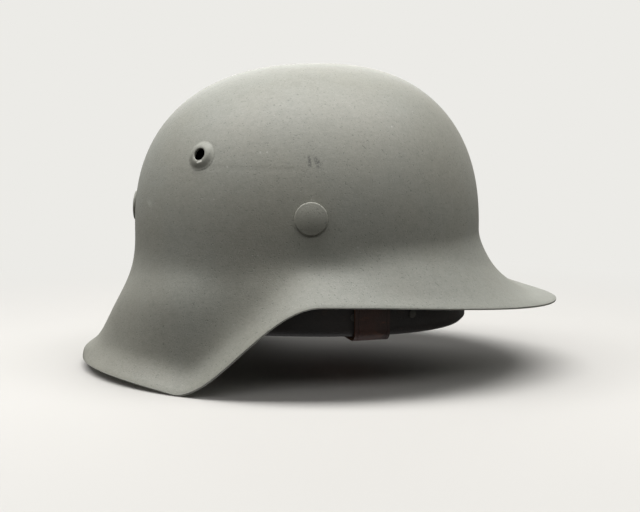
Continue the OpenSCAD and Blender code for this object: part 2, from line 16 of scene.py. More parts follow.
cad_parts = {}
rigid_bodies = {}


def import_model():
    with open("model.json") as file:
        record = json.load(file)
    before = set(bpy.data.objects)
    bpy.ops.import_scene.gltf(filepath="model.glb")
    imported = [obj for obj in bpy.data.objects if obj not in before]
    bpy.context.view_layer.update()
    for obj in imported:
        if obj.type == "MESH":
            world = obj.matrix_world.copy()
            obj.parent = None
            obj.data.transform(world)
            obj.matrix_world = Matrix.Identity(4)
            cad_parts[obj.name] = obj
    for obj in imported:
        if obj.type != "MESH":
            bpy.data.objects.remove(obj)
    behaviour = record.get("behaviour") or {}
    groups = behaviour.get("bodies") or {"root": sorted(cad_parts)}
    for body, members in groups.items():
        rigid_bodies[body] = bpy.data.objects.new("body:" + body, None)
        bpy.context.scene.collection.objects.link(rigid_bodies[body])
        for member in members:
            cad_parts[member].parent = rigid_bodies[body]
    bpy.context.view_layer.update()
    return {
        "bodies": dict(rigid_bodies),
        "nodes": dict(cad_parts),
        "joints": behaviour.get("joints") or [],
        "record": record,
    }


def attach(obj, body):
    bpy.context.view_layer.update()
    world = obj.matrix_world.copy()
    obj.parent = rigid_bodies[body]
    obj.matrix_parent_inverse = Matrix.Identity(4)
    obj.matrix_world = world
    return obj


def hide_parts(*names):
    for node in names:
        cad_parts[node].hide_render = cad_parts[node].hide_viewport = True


LOG = logging.getLogger("helmet")

Colour = tuple[float, float, float]
Place = tuple[float, float, float]
Spot = tuple[float, float]
Piece = bpy.types.Object
Socket = bpy.types.NodeSocket


def smooth(value: float) -> float:
    """Eases a value between 0 and 1."""
    v = min(1.0, max(0.0, value))
    return v * v * (3 - 2 * v)


def mix(a: float, b: float, share: float) -> float:
    """Value a given share of the way from a to b."""
    return a + (b - a) * share


def signed_power(value: float, power: float) -> float:
    """Power of a value's size, with the value's sign."""
    return math.copysign(abs(value) ** power, value)


def linear(red: int, green: int, blue: int) -> Colour:
    """Linear colour of a display colour, sRGB, with parts from 0 to 255."""
    shares = (part / 255 for part in (red, green, blue))
    return tuple(v / 12.92 if v <= 0.04045 else ((v + 0.055) / 1.055) ** 2.4 for v in shares)


@dataclass(frozen=True)
class Field:
    """A number that varies over a surface, reckoned with by plain arithmetic."""

    bench: Bench
    socket: Socket

    def join(self, operation: str, other: object = 0.0, after: bool = False) -> Field:
        """Adds one Math node.

        Args:
            operation: The Math node's operation.
            other: A Field or a number.
            after: Whether this Field comes second.

        Returns:
            The node's result.
        """
        first, second = (other, self) if after else (self, other)
        node = self.bench.node("Math", {0: first, 1: second}, operation=operation)
        return Field(self.bench, node.outputs[0])

    __add__ = __radd__ = partialmethod(join, "ADD")
    __sub__ = partialmethod(join, "SUBTRACT")
    __rsub__ = partialmethod(join, "SUBTRACT", after=True)
    __mul__ = __rmul__ = partialmethod(join, "MULTIPLY")
    __pow__ = partialmethod(join, "POWER")
    __abs__ = partialmethod(join, "ABSOLUTE")
    most = partialmethod(join, "MAXIMUM")

    def over(self, limit: float, width: float) -> Field:
        """Mask that goes from 0 at a limit to 1 a width further on.

        Args:
            limit: Value at which the mask is still 0.
            width: How much further on it reaches 1, counted downward where it is negative.

        Returns:
            The mask.
        """
        low, high = (limit, limit + width) if width > 0 else (limit + width, limit)
        ends = {3: 0.0, 4: 1.0} if width > 0 else {3: 1.0, 4: 0.0}
        node = self.bench.node("MapRange", {0: self, 1: low, 2: high, **ends}, clamp=True,
                               interpolation_type="SMOOTHSTEP")
        return Field(self.bench, node.outputs[0])


class Bench:
    """Node tree of a material or of the world, with the few kinds of node that the finishes are made from."""

    def __init__(self, name: str, world: bool = False) -> None:
        """Starts an empty material or world.

        Args:
            name: Its name.
            world: Whether it is a world.
        """
        self.owner = (bpy.data.worlds if world else bpy.data.materials).new(name)
        self.owner.use_nodes = True
        self.tree = self.owner.node_tree
        self.tree.nodes.clear()
        self.output = self.node("OutputWorld" if world else "OutputMaterial")
        if not world:
            place = self.node("TexCoord")
            self.place, self.cut = place.outputs["Object"], place.outputs["UV"]

    def node(self, kind: str, inputs: dict[object, object] | None = None,
             **settings: object) -> bpy.types.Node:
        """Adds a node.

        Args:
            kind: The shader node's type.
            inputs: Values, Fields or sockets by input name or number.
            **settings: Its properties, set before its sockets.

        Returns:
            The node.
        """
        made = self.tree.nodes.new(f"ShaderNode{kind}")
        for key, value in settings.items():
            setattr(made, key, value)
        for key, value in (inputs or {}).items():
            value = value.socket if isinstance(value, Field) else value
            if isinstance(value, Socket):
                self.tree.links.new(value, made.inputs[key])
            else:
                made.inputs[key].default_value = value
        return made

    def axes(self, socket: Socket | None = None) -> tuple[Field, Field, Field]:
        """The three numbers of a place, by default the object's own coordinates."""
        split = self.node("SeparateXYZ", {0: socket or self.place})
        return tuple(Field(self, out) for out in split.outputs)

    def stretched(self, *scale: float) -> Socket:
        """The object's coordinates, stretched along X, Y and Z."""
        return self.node("Mapping", {0: self.place, "Scale": scale}).outputs[0]

    def noise(self, scale: float, detail: float = 3.0, rough: float = 0.6,
              vector: Socket | None = None) -> Field:
        """Noise with so many cycles to the metre.

        Args:
            scale: Cycles to the metre.
            detail: How many finer noises are added.
            rough: Strength of each finer noise, as a share of the one before.
            vector: Place that it reads, by default the object's own coordinates.

        Returns:
            The noise, from 0 to 1.
        """
        made = self.node("TexNoise", {
            "Vector": vector or self.place, "Scale": scale, "Detail": detail, "Roughness": rough})
        return Field(self, made.outputs["Fac"])

    def cells(self, scale: float) -> Field:
        """Distance from the middles of cells, with so many cells to the metre."""
        made = self.node("TexVoronoi", {"Vector": self.place, "Scale": scale})
        return Field(self, made.outputs["Distance"])

    def blend(self, share: object, first: object, second: object) -> Socket:
        """Colour a share of the way from the first to the second."""
        ends = [(*colour, 1.0) if isinstance(colour, tuple) else colour for colour in (first, second)]
        return self.node("Mix", {0: share, 6: ends[0], 7: ends[1]}, data_type="RGBA").outputs[2]

    def layered(self, colour: Socket, *layers: tuple[Field, Colour]) -> Socket:
        """A colour with layers over it.

        Args:
            colour: The colour below.
            *layers: Each a mask and the colour that it brings, the lowest first.

        Returns:
            The layered colour.
        """
        for mask, tint in layers:
            colour = self.blend(mask, colour, tint)
        return colour

    def bump(self, height: Field, depth: float) -> Socket:
        """Normal for a height from 0 to 1 over a depth in metres."""
        return self.node("Bump", {"Strength": 1.0, "Distance": depth, "Height": height}).outputs[0]

    def path(self, kind: str) -> Field:
        """1 for one kind of ray, such as Camera, and 0 for the others."""
        return Field(self, self.node("LightPath").outputs[f"Is {kind} Ray"])

    def mixed(self, share: Field, first: bpy.types.Node, second: bpy.types.Node) -> bpy.types.Node:
        """Shader a share of the way from the first to the second."""
        return self.node("MixShader", {0: share, 1: first.outputs[0], 2: second.outputs[0]})

    def end(self, shader: bpy.types.Node) -> bpy.types.ID:
        """Ends the tree in a shader, and gives the material or world."""
        self.tree.links.new(shader.outputs[0], self.output.inputs[0])
        return self.owner

    def finish(self, **inputs: object) -> bpy.types.Material:
        """Ends the material in one Principled shader.

        Args:
            **inputs: The shader's sockets, with an underscore for each space.

        Returns:
            The material.
        """
        sockets = {key.replace("_", " "): value for key, value in inputs.items()}
        return self.end(self.node("BsdfPrincipled", sockets))


@dataclass(frozen=True)
class Stroke:
    """A straight mark on the helmet's right side.

    Attributes:
        start: X and Z of one end.
        end: X and Z of the other end.
        width: Half width of the mark's core.
        fade: Width over which its rim fades.
    """

    start: Spot
    end: Spot
    width: float
    fade: float

    def mask(self, bench: Bench) -> Field:
        """1 on the mark, and 0 away from it and on the helmet's left.

        Args:
            bench: The material's node tree.

        Returns:
            The mask.
        """
        x, y, z = bench.axes()
        run, rise = self.end[0] - self.start[0], self.end[1] - self.start[1]
        length = math.hypot(run, rise)
        ux, uz = run / length, rise / length
        along = (x - self.start[0]) * ux + (z - self.start[1]) * uz
        aside = abs((x - self.start[0]) * uz - (z - self.start[1]) * ux)
        past = abs(along - length / 2) - length / 2
        right = y.over(-0.03, -0.01)
        return aside.over(self.width + self.fade, -self.fade) * past.over(self.fade, -2 * self.fade) * right


@dataclass(frozen=True)
class FieldPaint:
    """Matt field-grey paint: fine grain, dark pits, pale dust and a few marks of use; the rub on a vent's
    lower lip is painted near-white, partly bare steel and partly a painted highlight.
    """

    name: str = "field_grey_paint"
    cool: Colour = linear(130, 131, 123)
    warm: Colour = linear(130, 129, 119)
    light: Colour = linear(150, 150, 140)
    shade: Colour = linear(102, 102, 94)
    pit: Colour = linear(62, 62, 58)
    dust: Colour = linear(182, 182, 173)
    # Near-white steel colour: bare steel, made pale enough to serve as a painted highlight on the vent's lower
    # lip.
    steel: Colour = linear(224, 222, 212)
    roughness: float = 0.47
    depth: float = 0.0001
    scuffs: tuple[Stroke, Stroke] = (
        Stroke((-0.0053, 0.1308), (-0.0046, 0.1246), 0.0003, 0.0010),
        Stroke((-0.0017, 0.1297), (0.0003, 0.1244), 0.0006, 0.0012),
    )
    veil: Stroke = Stroke((-0.012, 0.1285), (0.006, 0.1235), 0.003, 0.010)
    crease: Stroke = Stroke((-0.070, 0.1236), (-0.012, 0.1232), 0.0003, 0.0022)
    chip: Stroke = Stroke((-0.0496, 0.1243), (-0.0493, 0.1244), 0.0002, 0.0008)
    dots: tuple[Spot, ...] = ((-0.0315, 0.1321), (-0.0278, 0.1322), (0.0399, 0.1458), (0.0207, 0.0818))
    dot_size: float = 0.0002
    dot_fade: float = 0.0007
    rub: Stroke = Stroke((-0.0975, 0.1035), (-0.0955, 0.1010), 0.0004, 0.0018)
    # Rub on the right vent's lower lip: bare steel, and also a painted highlight where the lip faces up to the
    # light.
    vent_lip_rub_and_highlight: Stroke = Stroke((-0.0668, 0.1263), (-0.0638, 0.1275), 0.00015, 0.0006)

    def chips(self, bench: Bench) -> Field:
        """Mask of the spots where the paint is chipped or rubbed pale.

        Args:
            bench: The material's node tree.

        Returns:
            The mask.
        """
        chips = self.chip.mask(bench)
        for x, z in self.dots:
            dot = Stroke((x, z), (x + self.dot_size, z + self.dot_size), self.dot_size / 2, self.dot_fade)
            chips = chips.most(dot.mask(bench))
        return chips.most(self.rub.mask(bench) * 0.35)

    def material(self) -> bpy.types.Material:
        """Builds the paint.

        Returns:
            The material.
        """
        bench = Bench(self.name)
        cloud = bench.noise(11, 3, 0.55)
        grain = bench.noise(1500, 2, 0.6)
        coarse = bench.noise(620, 3, 0.65)
        blotch = bench.noise(170)
        brush = bench.noise(220, vector=bench.stretched(0.35, 1.0, 2.6))
        pits = bench.noise(1000, 1, 0.4).over(0.665, 0.05)
        specks = bench.noise(640, 1, 0.4).over(0.775, 0.02)
        fray = bench.noise(900, 3, 0.65).over(0.36, 0.2)
        scuffs = self.scuffs[0].mask(bench).most(self.scuffs[1].mask(bench)) * fray
        veil = self.veil.mask(bench) * bench.noise(700).over(0.5, 0.15)
        crease = self.crease.mask(bench)
        # bare masks the vent lip's rub: real bare steel, painted near-white as a painted highlight.
        bare = (self.vent_lip_rub_and_highlight.mask(bench) * (0.55 + bench.noise(1300, 2, 0.6))).over(0.45, 0.25)
        colour = bench.layered(
            bench.blend(cloud.over(0.36, 0.28), self.warm, self.cool),
            (coarse.over(0.3, 0.4) * 0.34, self.light),
            (blotch.over(0.42, 0.3) * 0.16, self.shade),
            (grain.over(0.42, 0.3) * 0.2, self.shade),
            (brush.over(0.56, 0.2) * 0.10, self.pit),
            (pits * 0.4, self.pit),
            (specks * 0.3, self.dust),
            (scuffs * 0.8, self.pit),
            (veil * 0.22, self.pit),
            (crease * 0.04, self.pit),
            (self.chips(bench) * 0.8, self.dust),
            # Painted highlight, together with bare steel, on the vent's lower lip.
            (bare * 0.9, self.steel),
        )
        rough = self.roughness + coarse * 0.1 + grain * 0.1 - bare * 0.15
        height = grain * 0.6 + coarse * 0.7 + brush * 0.3 - pits * 0.5 - crease * 0.5 - scuffs * 0.5
        return bench.finish(Base_Color=colour, Roughness=rough, Metallic=0.0, Specular_IOR_Level=0.5,
                            Normal=bench.bump(height, self.depth))


@dataclass(frozen=True)
class RawEdge:
    """Cut edge of the steel sheet, thinly painted and rubbed."""

    name: str = "raw_edge"
    paint: Colour = linear(122, 122, 113)
    bare: Colour = linear(156, 153, 146)

    def material(self) -> bpy.types.Material:
        """Builds the finish.

        Returns:
            The material.
        """
        bench = Bench(self.name)
        rub = bench.noise(260).over(0.56, 0.14)
        return bench.finish(Base_Color=bench.blend(rub * 0.7, self.paint, self.bare),
                            Roughness=0.55 - rub * 0.15, Metallic=rub * 0.6,
                            Normal=bench.bump(bench.noise(900, 2, 0.5), 0.00004))


@dataclass(frozen=True)
class WornSteel:
    """Thin plated or bare steel that has dulled, with handling marks and a little rust."""

    name: str
    clean: Colour = linear(150, 150, 146)
    dull: Colour = linear(108, 107, 102)
    rust: Colour = linear(110, 74, 46)
    rust_share: float = 0.12
    metallic: float = 0.85

    def material(self) -> bpy.types.Material:
        """Builds the finish.

        Returns:
            The material.
        """
        bench = Bench(self.name)
        haze = bench.noise(60, 4, 0.6)
        streak = bench.noise(240, vector=bench.stretched(0.25, 0.25, 3.0))
        rust = bench.noise(130, 5, 0.65).over(0.68 - 0.16 * self.rust_share, 0.08)
        colour = bench.layered(
            bench.blend(haze.over(0.3, 0.4), self.dull, self.clean),
            (streak.over(0.5, 0.3) * 0.35, self.dull),
            (rust * 0.8, self.rust),
        )
        rough = 0.38 + haze * 0.2 + rust * 0.25
        return bench.finish(Base_Color=colour, Metallic=self.metallic - rust * 0.7, Roughness=rough,
                            Normal=bench.bump(streak * 0.5 + rust, 0.00003))


@dataclass(frozen=True)
class Leather:
    """Dyed leather: pebbled grain, creases and a darker handled surface."""

    name: str
    dye: Colour
    worn: Colour
    dark: Colour
    pebble: float = 1100.0
    gloss: float = 0.42
    border: bool = False

    def material(self) -> bpy.types.Material:
        """Builds the finish, with a pressed line along a strap's two edges where border is set.

        Returns:
            The material.
        """
        bench = Bench(self.name)
        pebbles = bench.cells(self.pebble)
        crease = bench.noise(120, 4, 0.65, bench.stretched(1.0, 1.0, 2.2))
        cloud = bench.noise(32)
        colour = bench.layered(
            bench.blend(cloud.over(0.35, 0.3), self.dark, self.dye),
            (crease.over(0.56, 0.12) * 0.45, self.worn),
            (pebbles.over(0.35, 0.3) * 0.3, self.dark),
        )
        height = crease * 0.9 - pebbles * 0.6
        if self.border:
            _, across, _ = bench.axes(bench.cut)
            groove = abs(abs(across - 0.5) - 0.4).over(0.022, -0.02)
            colour = bench.blend(groove * 0.5, colour, self.dark)
            height = height - groove * 1.5
        return bench.finish(Base_Color=colour, Roughness=self.gloss + cloud * 0.14 + crease * 0.12,
                            Specular_IOR_Level=0.45, Normal=bench.bump(height, 0.00018))


@dataclass(frozen=True)
class CutLeather:
    """Cut edge of a piece of leather: paler, fibrous and dull."""

    name: str
    core: Colour = linear(96, 64, 45)
    soiled: Colour = linear(58, 38, 27)

    def material(self) -> bpy.types.Material:
        """Builds the finish.

        Returns:
            The material.
        """
        bench = Bench(self.name)
        fibre = bench.noise(1400, 3, 0.7)
        stain = bench.noise(90).over(0.4, 0.25)
        colour = bench.layered(bench.blend(stain, self.core, self.soiled),
                               (fibre.over(0.45, 0.25) * 0.5, self.soiled))
        return bench.finish(Base_Color=colour, Roughness=0.85, Specular_IOR_Level=0.2,
                            Normal=bench.bump(fibre, 0.0001))


@dataclass(frozen=True)
class Felt:
    """Grey wool felt: matted fibres, flecks and a soft, dull surface."""

    name: str = "wool_felt"
    wool: Colour = linear(122, 122, 118)
    fleck: Colour = linear(72, 70, 68)

    def material(self) -> bpy.types.Material:
        """Builds the finish.

        Returns:
            The material.
        """
        bench = Bench(self.name)
        fibre = bench.noise(900, 4, 0.75, bench.stretched(1.0, 1.0, 0.35))
        mat = bench.noise(150)
        colour = bench.blend(fibre.over(0.4, 0.3) * 0.7, self.fleck, self.wool)
        return bench.finish(Base_Color=colour, Roughness=0.95, Sheen_Weight=0.3, Specular_IOR_Level=0.1,
                            Normal=bench.bump(fibre + mat, 0.0005))


class Slot(Enum):
    """Material slots of the record."""

    PAINT = "field_grey_paint"
    BAND = "band_steel"
    SPRING = "spring_steel"
    ZINC = "dull_zinc"
    ENAMEL = "black_enamel"
    FELT = "wool_felt"
    LINER = "liner_leather"
    STRAP = "strap_leather"


class Wardrobe:
    """Every finish of the helmet, made once."""

    def __init__(self) -> None:
        """Builds the materials."""
        finishes = {
            Slot.PAINT: FieldPaint(),
            Slot.BAND: WornSteel("band_steel"),
            Slot.SPRING: WornSteel("spring_steel", linear(120, 122, 128), linear(78, 80, 86),
                                   rust_share=0.05),
            Slot.ZINC: WornSteel("dull_zinc", linear(92, 91, 87), linear(58, 57, 54)),
            Slot.ENAMEL: WornSteel("black_enamel", linear(38, 38, 38), linear(26, 26, 26), metallic=0.1),
            Slot.FELT: Felt(),
            Slot.LINER: Leather("liner_leather", linear(32, 26, 23), linear(56, 43, 34), linear(18, 15, 14)),
            Slot.STRAP: Leather("strap_leather", linear(62, 32, 22), linear(98, 58, 38), linear(38, 20, 14),
                                pebble=1500.0, gloss=0.36, border=True),
        }
        edges = {
            Slot.PAINT: RawEdge(),
            Slot.LINER: CutLeather("liner_cut_edge", linear(84, 64, 50), linear(44, 34, 28)),
            Slot.STRAP: CutLeather("strap_cut_edge"),
        }
        self.by_slot = {slot: finish.material() for slot, finish in finishes.items()}
        self.edges = {slot: finish.material() for slot, finish in edges.items()}

    def dress(self, piece: Piece, slot: Slot) -> None:
        """Gives a new piece the finish of a slot, and its cut edges theirs as a second finish.

        Args:
            piece: The new piece.
            slot: The record's slot that it belongs to.
        """
        piece.data.materials.clear()
        piece.data.materials.append(self.by_slot[slot])
        if slot in self.edges:
            piece.data.materials.append(self.edges[slot])

    def repaint(self, node: Piece, slot: Slot) -> None:
        """Gives a CAD node's own slots the finish of a record slot."""
        for holder in node.material_slots:
            holder.material = self.by_slot[slot]


class Shop:
    """Hand tools: each shapes the active object as at the bench."""

    @staticmethod
    def clear() -> None:
        """Deselects everything."""
        if bpy.context.object and bpy.context.object.mode != "OBJECT":
            bpy.ops.object.mode_set(mode="OBJECT")
        bpy.ops.object.select_all(action="DESELECT")

    @staticmethod
    def pick(piece: Piece) -> None:
        """Selects one object alone and makes it active.

        Args:
            piece: The object.
        """
        Shop.clear()
        piece.select_set(True)
        bpy.context.view_layer.objects.active = piece

    @staticmethod
    def open(piece: Piece, kind: str = "VERT", action: str = "SELECT") -> None:
        """Takes a piece into edit mode, with all of its points, edges or faces selected, or none.

        Args:
            piece: The mesh object.
            kind: VERT, EDGE or FACE.
            action: SELECT for all of them, or DESELECT for none.
        """
        Shop.pick(piece)
        bpy.ops.object.mode_set(mode="EDIT")
        bpy.ops.mesh.select_mode(type=kind)
        bpy.ops.mesh.select_all(action=action)

    @staticmethod
    def mark(piece: Piece, chosen: Callable[[Vector, Vector], bool], kind: str = "FACE") -> None:
        """Selects faces or edges by place, and leaves the piece in edit mode.

        Args:
            piece: The mesh object.
            chosen: Says from a centre and a normal, or from an edge's two ends, whether it is picked.
            kind: FACE or EDGE.
        """
        Shop.open(piece, kind, "DESELECT")
        bpy.ops.object.mode_set(mode="OBJECT")
        mesh = piece.data
        for face in mesh.polygons if kind == "FACE" else ():
            face.select = chosen(face.center, face.normal)
        for edge in mesh.edges if kind == "EDGE" else ():
            edge.select = chosen(*(mesh.vertices[v].co for v in edge.vertices))
        bpy.ops.object.mode_set(mode="EDIT")

    @staticmethod
    def modify(piece: Piece, kind: str, **settings: object) -> None:
        """Adds a modifier, sets it and applies it.

        Args:
            piece: The mesh object.
            kind: The modifier's type.
            **settings: Its properties.
        """
        Shop.pick(piece)
        made = piece.modifiers.new(kind.lower(), kind)
        for key, value in settings.items():
            setattr(made, key, value)
        bpy.ops.object.modifier_apply(modifier=made.name)

    @staticmethod
    def thicken(piece: Piece, thickness: float, offset: float = 0.0, rim: int = 1) -> None:
        """Gives a sheet its thickness, and its cut edges the finish so many places after its own."""
        Shop.modify(piece, "SOLIDIFY", thickness=thickness, offset=offset, use_even_offset=True,
                    material_offset_rim=rim)

    @staticmethod
    def ease(piece: Piece, width: float, degrees: float, segments: int = 2) -> None:
        """Rounds the edges that turn by more than an angle."""
        Shop.modify(piece, "BEVEL", width=width, segments=segments, limit_method="ANGLE",
                    angle_limit=math.radians(degrees))

    @staticmethod
    def heal(piece: Piece, distance: float = 1e-6) -> None:
        """Merges doubles and turns every face outward.

        Args:
            piece: The mesh object.
            distance: Points nearer to each other than this are merged, in metres.
        """
        Shop.open(piece)
        bpy.ops.mesh.remove_doubles(threshold=distance)
        bpy.ops.mesh.normals_make_consistent(inside=False)
        bpy.ops.object.mode_set(mode="OBJECT")

    @staticmethod
    def gloss(piece: Piece, degrees: float) -> None:
        """Shades smooth up to an angle."""
        Shop.pick(piece)
        bpy.ops.object.shade_smooth_by_angle(angle=math.radians(degrees))

    @staticmethod
    def settle(piece: Piece, matrix: Matrix) -> Piece:
        """Moves a piece and puts its place into its mesh.

        Args:
            piece: The piece.
            matrix: The move, from where the piece now is.

        Returns:
            The same piece.
        """
        piece.matrix_world = matrix @ piece.matrix_world
        Shop.pick(piece)
        bpy.ops.object.transform_apply(location=True, rotation=True, scale=True)
        return piece

    @staticmethod
    def join(pieces: Sequence[Piece], name: str) -> Piece:
        """Joins pieces into the first and names the result.

        Args:
            pieces: The pieces, of which the first takes in the others.
            name: Name of the result.

        Returns:
            The joined piece.
        """
        Shop.pick(pieces[0])
        for piece in pieces[1:]:
            piece.select_set(True)
        if len(pieces) > 1:
            bpy.ops.object.join()
        pieces[0].name = pieces[0].data.name = name
        return pieces[0]

    @staticmethod
    def cut(piece: Piece, tools: Sequence[Piece]) -> None:
        """Takes the shapes of some tools out of a piece and puts the tools away.

        Args:
            piece: The piece that is cut.
            tools: The shapes that are taken out of it.
        """
        tool = Shop.join(tools, "cutters")
        Shop.modify(piece, "BOOLEAN", operation="DIFFERENCE", object=tool, solver="EXACT", use_self=False)
        bpy.data.objects.remove(tool)

    @staticmethod
    def drill(radius: float, depth: float, matrix: Matrix, sides: int = 32) -> Piece:
        """Round cutter centred on a frame, along its Z.

        Args:
            radius: Radius of the hole.
            depth: Length of the cutter.
            matrix: The frame, with Z along the hole.
            sides: Flats round the cutter.

        Returns:
            The cutter.
        """
        Shop.clear()
        bpy.ops.mesh.primitive_cylinder_add(vertices=sides, radius=radius, depth=depth)
        return Shop.settle(bpy.context.object, matrix)

    @staticmethod
    def turned(outline: Sequence[Spot], sides: int) -> Piece:
        """Spins an outline of radius and height round Z into a turned part.

        Args:
            outline: Points of radius and height, in metres.
            sides: Steps of the full turn.

        Returns:
            The turned piece, at the origin.
        """
        Shop.clear()
        bpy.ops.mesh.primitive_plane_add(size=0.001)
        piece = bpy.context.object
        Shop.open(piece)
        bpy.ops.mesh.merge(type="CENTER")
        bpy.ops.transform.translate(value=(outline[0][0], 0, outline[0][1]))
        for (r0, z0), (r1, z1) in zip(outline, outline[1:]):
            bpy.ops.mesh.extrude_region_move(TRANSFORM_OT_translate={"value": (r1 - r0, 0, z1 - z0)})
        bpy.ops.mesh.select_all(action="SELECT")
        bpy.ops.mesh.spin(steps=sides, angle=2 * math.pi, center=(0, 0, 0), axis=(0, 0, 1))
        bpy.ops.object.mode_set(mode="OBJECT")
        Shop.heal(piece)
        return piece

    @staticmethod
    def sheet(columns: int, rows: int, form: Callable[[float, float], Vector],
              waste: Callable[[float, float], bool] | None = None) -> Piece:
        """Cuts a flat sheet and forms it.

        Args:
            columns: Cells along the sheet.
            rows: Cells across the sheet.
            form: Place of a point, from its shares along and across.
            waste: Says from a cell's middle whether it is cut away.

        Returns:
            The formed sheet, with its flat shares kept as its map.
        """
        Shop.clear()
        bpy.ops.mesh.primitive_grid_add(x_subdivisions=columns, y_subdivisions=rows, size=1.0,
                                        location=(0.5, 0.5, 0.0))
        piece = bpy.context.object
        bpy.ops.object.transform_apply(location=True, rotation=True, scale=True)
        if waste:
            Shop.mark(piece, lambda centre, normal: waste(centre.x, centre.y))
            bpy.ops.mesh.delete(type="FACE")
            bpy.ops.object.mode_set(mode="OBJECT")
        for vertex in piece.data.vertices:
            vertex.co = form(vertex.co.x, vertex.co.y)
        Shop.heal(piece, 1e-5)
        return piece


@dataclass(frozen=True)
class Die:
    """The pressing's form, shared by the shell and by everything that is set out on the dome's plan.

    Each profile is a heading in degrees and five guide points of the flare, as shares of its run and drop.
    """

    dome_front: float = 0.0975
    dome_back: float = 0.112
    dome_half_width: float = 0.096
    shell_height: float = 0.183
    waist_height: float = 0.084
    dome_fullness: float = 2.36
    plan_fullness: float = 2.15
    visor_reach: float = 0.1465
    neck_reach: float = 0.1465
    skirt_half_width: float = 0.113
    temple_height: float = 0.052
    visor_height: float = 0.041
    neck_height: float = 0.005
    step_centre: float = -0.0385
    step_length: float = 0.080
    profiles: tuple[tuple[float, tuple[Spot, ...]], ...] = (
        (0, ((0, 0.125), (0.123, 0.427), (0.273, 0.657), (0.654, 0.977), (0.843, 0.960))),
        (62, ((0, 0.10), (0.07, 0.27), (0.30, 0.47), (0.56, 0.69), (0.79, 0.88))),
        (90, ((0, 0.13), (0, 0.30), (0.08, 0.47), (0.35, 0.63), (0.68, 0.82))),
        (110, ((0, 0.12), (0, 0.27), (0.15, 0.46), (0.29, 0.69), (0.52, 0.86))),
        (127, ((0, 0.12), (0, 0.24), (0.40, 0.41), (0.41, 0.81), (0.46, 0.905))),
        (150, ((0, 0.10), (0, 0.26), (0.38, 0.47), (0.55, 0.83), (0.65, 0.905))),
        (180, ((0, 0.06), (0, 0.31), (0.46, 0.64), (0.74, 0.91), (1.02, 0.93))),
    )
    rim_fullness: tuple[float, float] = (1.9, 1.85)
    step_power: float = 0.9
    nape_power: float = 0.57
    foot_lift: float = 0.0005
    foot_height: float = 0.010
    droop_reach: float = 0.242
    ground: float = -0.000301

    def seat(self, x: float, y: float, z: float) -> Vector:
        """A point of the dome's own frame, moved to the helmet's frame."""
        return Vector((x, y, z - self.ground))

    def plan(self, turn: float, inset: float = 0.0) -> Spot:
        """Plan of the dome at an angle round the head, drawn in by an inset.

        Args:
            turn: Angle round the head, 0 at the visor and a quarter turn at the wearer's left.
            inset: How far the plan is drawn in.

        Returns:
            X and Y at the waist.
        """
        reach = (self.dome_front if math.cos(turn) > 0 else self.dome_back) - inset
        power = 2 / self.plan_fullness
        return (reach * signed_power(math.cos(turn), power),
                (self.dome_half_width - inset) * signed_power(math.sin(turn), power))

    def share(self, height: float) -> float:
        """Share of the waist's plan that the dome keeps at a height."""
        rise = max(0.0, (height - self.waist_height) / (self.shell_height - self.waist_height))
        return (1 - rise ** self.dome_fullness) ** (1 / self.dome_fullness)

    def dome(self, tilt: float, turn: float, inset: float = 0.0, foot: float | None = None,
             top: float | None = None) -> Vector:
        """Point of the dome's form.

        Args:
            tilt: 0 at the crown and a quarter turn at the foot.
            turn: Angle round the head, 0 at the visor and a quarter turn at the wearer's left.
            inset: How far the plan is drawn in.
            foot: Height of the foot, by default the waist's.
            top: Height of the crown, by default the shell's.

        Returns:
            The point, in the dome's own frame.
        """
        x, y = self.plan(turn, inset)
        power = 2 / self.dome_fullness
        share = max(0.0, math.sin(tilt)) ** power
        foot = self.waist_height if foot is None else foot
        top = self.shell_height if top is None else top
        return Vector((x * share, y * share, mix(foot, top, max(0.0, math.cos(tilt)) ** power)))

    def rim(self, turn: float) -> Vector:
        """Edge of the steel at an angle round the head, with its lowest stretch lifted onto the ground.

        Args:
            turn: Angle round the head, 0 at the visor and a quarter turn at the wearer's left.

        Returns:
            The point, in the dome's own frame.
        """
        front = math.cos(turn) > 0
        power = 2 / self.rim_fullness[front]
        x = (self.visor_reach if front else self.neck_reach) * signed_power(math.cos(turn), power)
        low = self.step_centre - self.step_length / 2
        step = smooth(min(1.0, max(0.0, (x - low) / self.step_length)) ** self.step_power)
        droop = smooth(x / self.droop_reach) / smooth(self.visor_reach / self.droop_reach)
        nape = smooth(max(0.0, (low - x) / (low + self.neck_reach)) ** self.nape_power)
        height = self.temple_height * step + self.neck_height * nape
        height += (self.visor_height - self.temple_height) * droop
        height += self.foot_lift * (1 - smooth(height / self.foot_height))
        return Vector((x, self.skirt_half_width * signed_power(math.sin(turn), power), height))

    def guides(self, turn: float) -> list[Spot]:
        """Guide points of the flare at an angle round the head, eased between the profiles.

        Args:
            turn: Angle round the head, 0 at the visor and a quarter turn at the wearer's left.

        Returns:
            Shares of the flare's run and drop, from the waist to the rim.
        """
        around = abs(math.degrees(math.atan2(math.sin(turn), math.cos(turn))))
        key = max(k for k in range(len(self.profiles) - 1) if self.profiles[k][0] <= around)
        (start, first), (end, second) = self.profiles[key:key + 2]
        share = smooth((around - start) / (end - start))
        inner = [(mix(a[0], b[0], share), mix(a[1], b[1], share)) for a, b in zip(first, second)]
        return [(0.0, 0.0), *inner, (1.0, 1.0)]

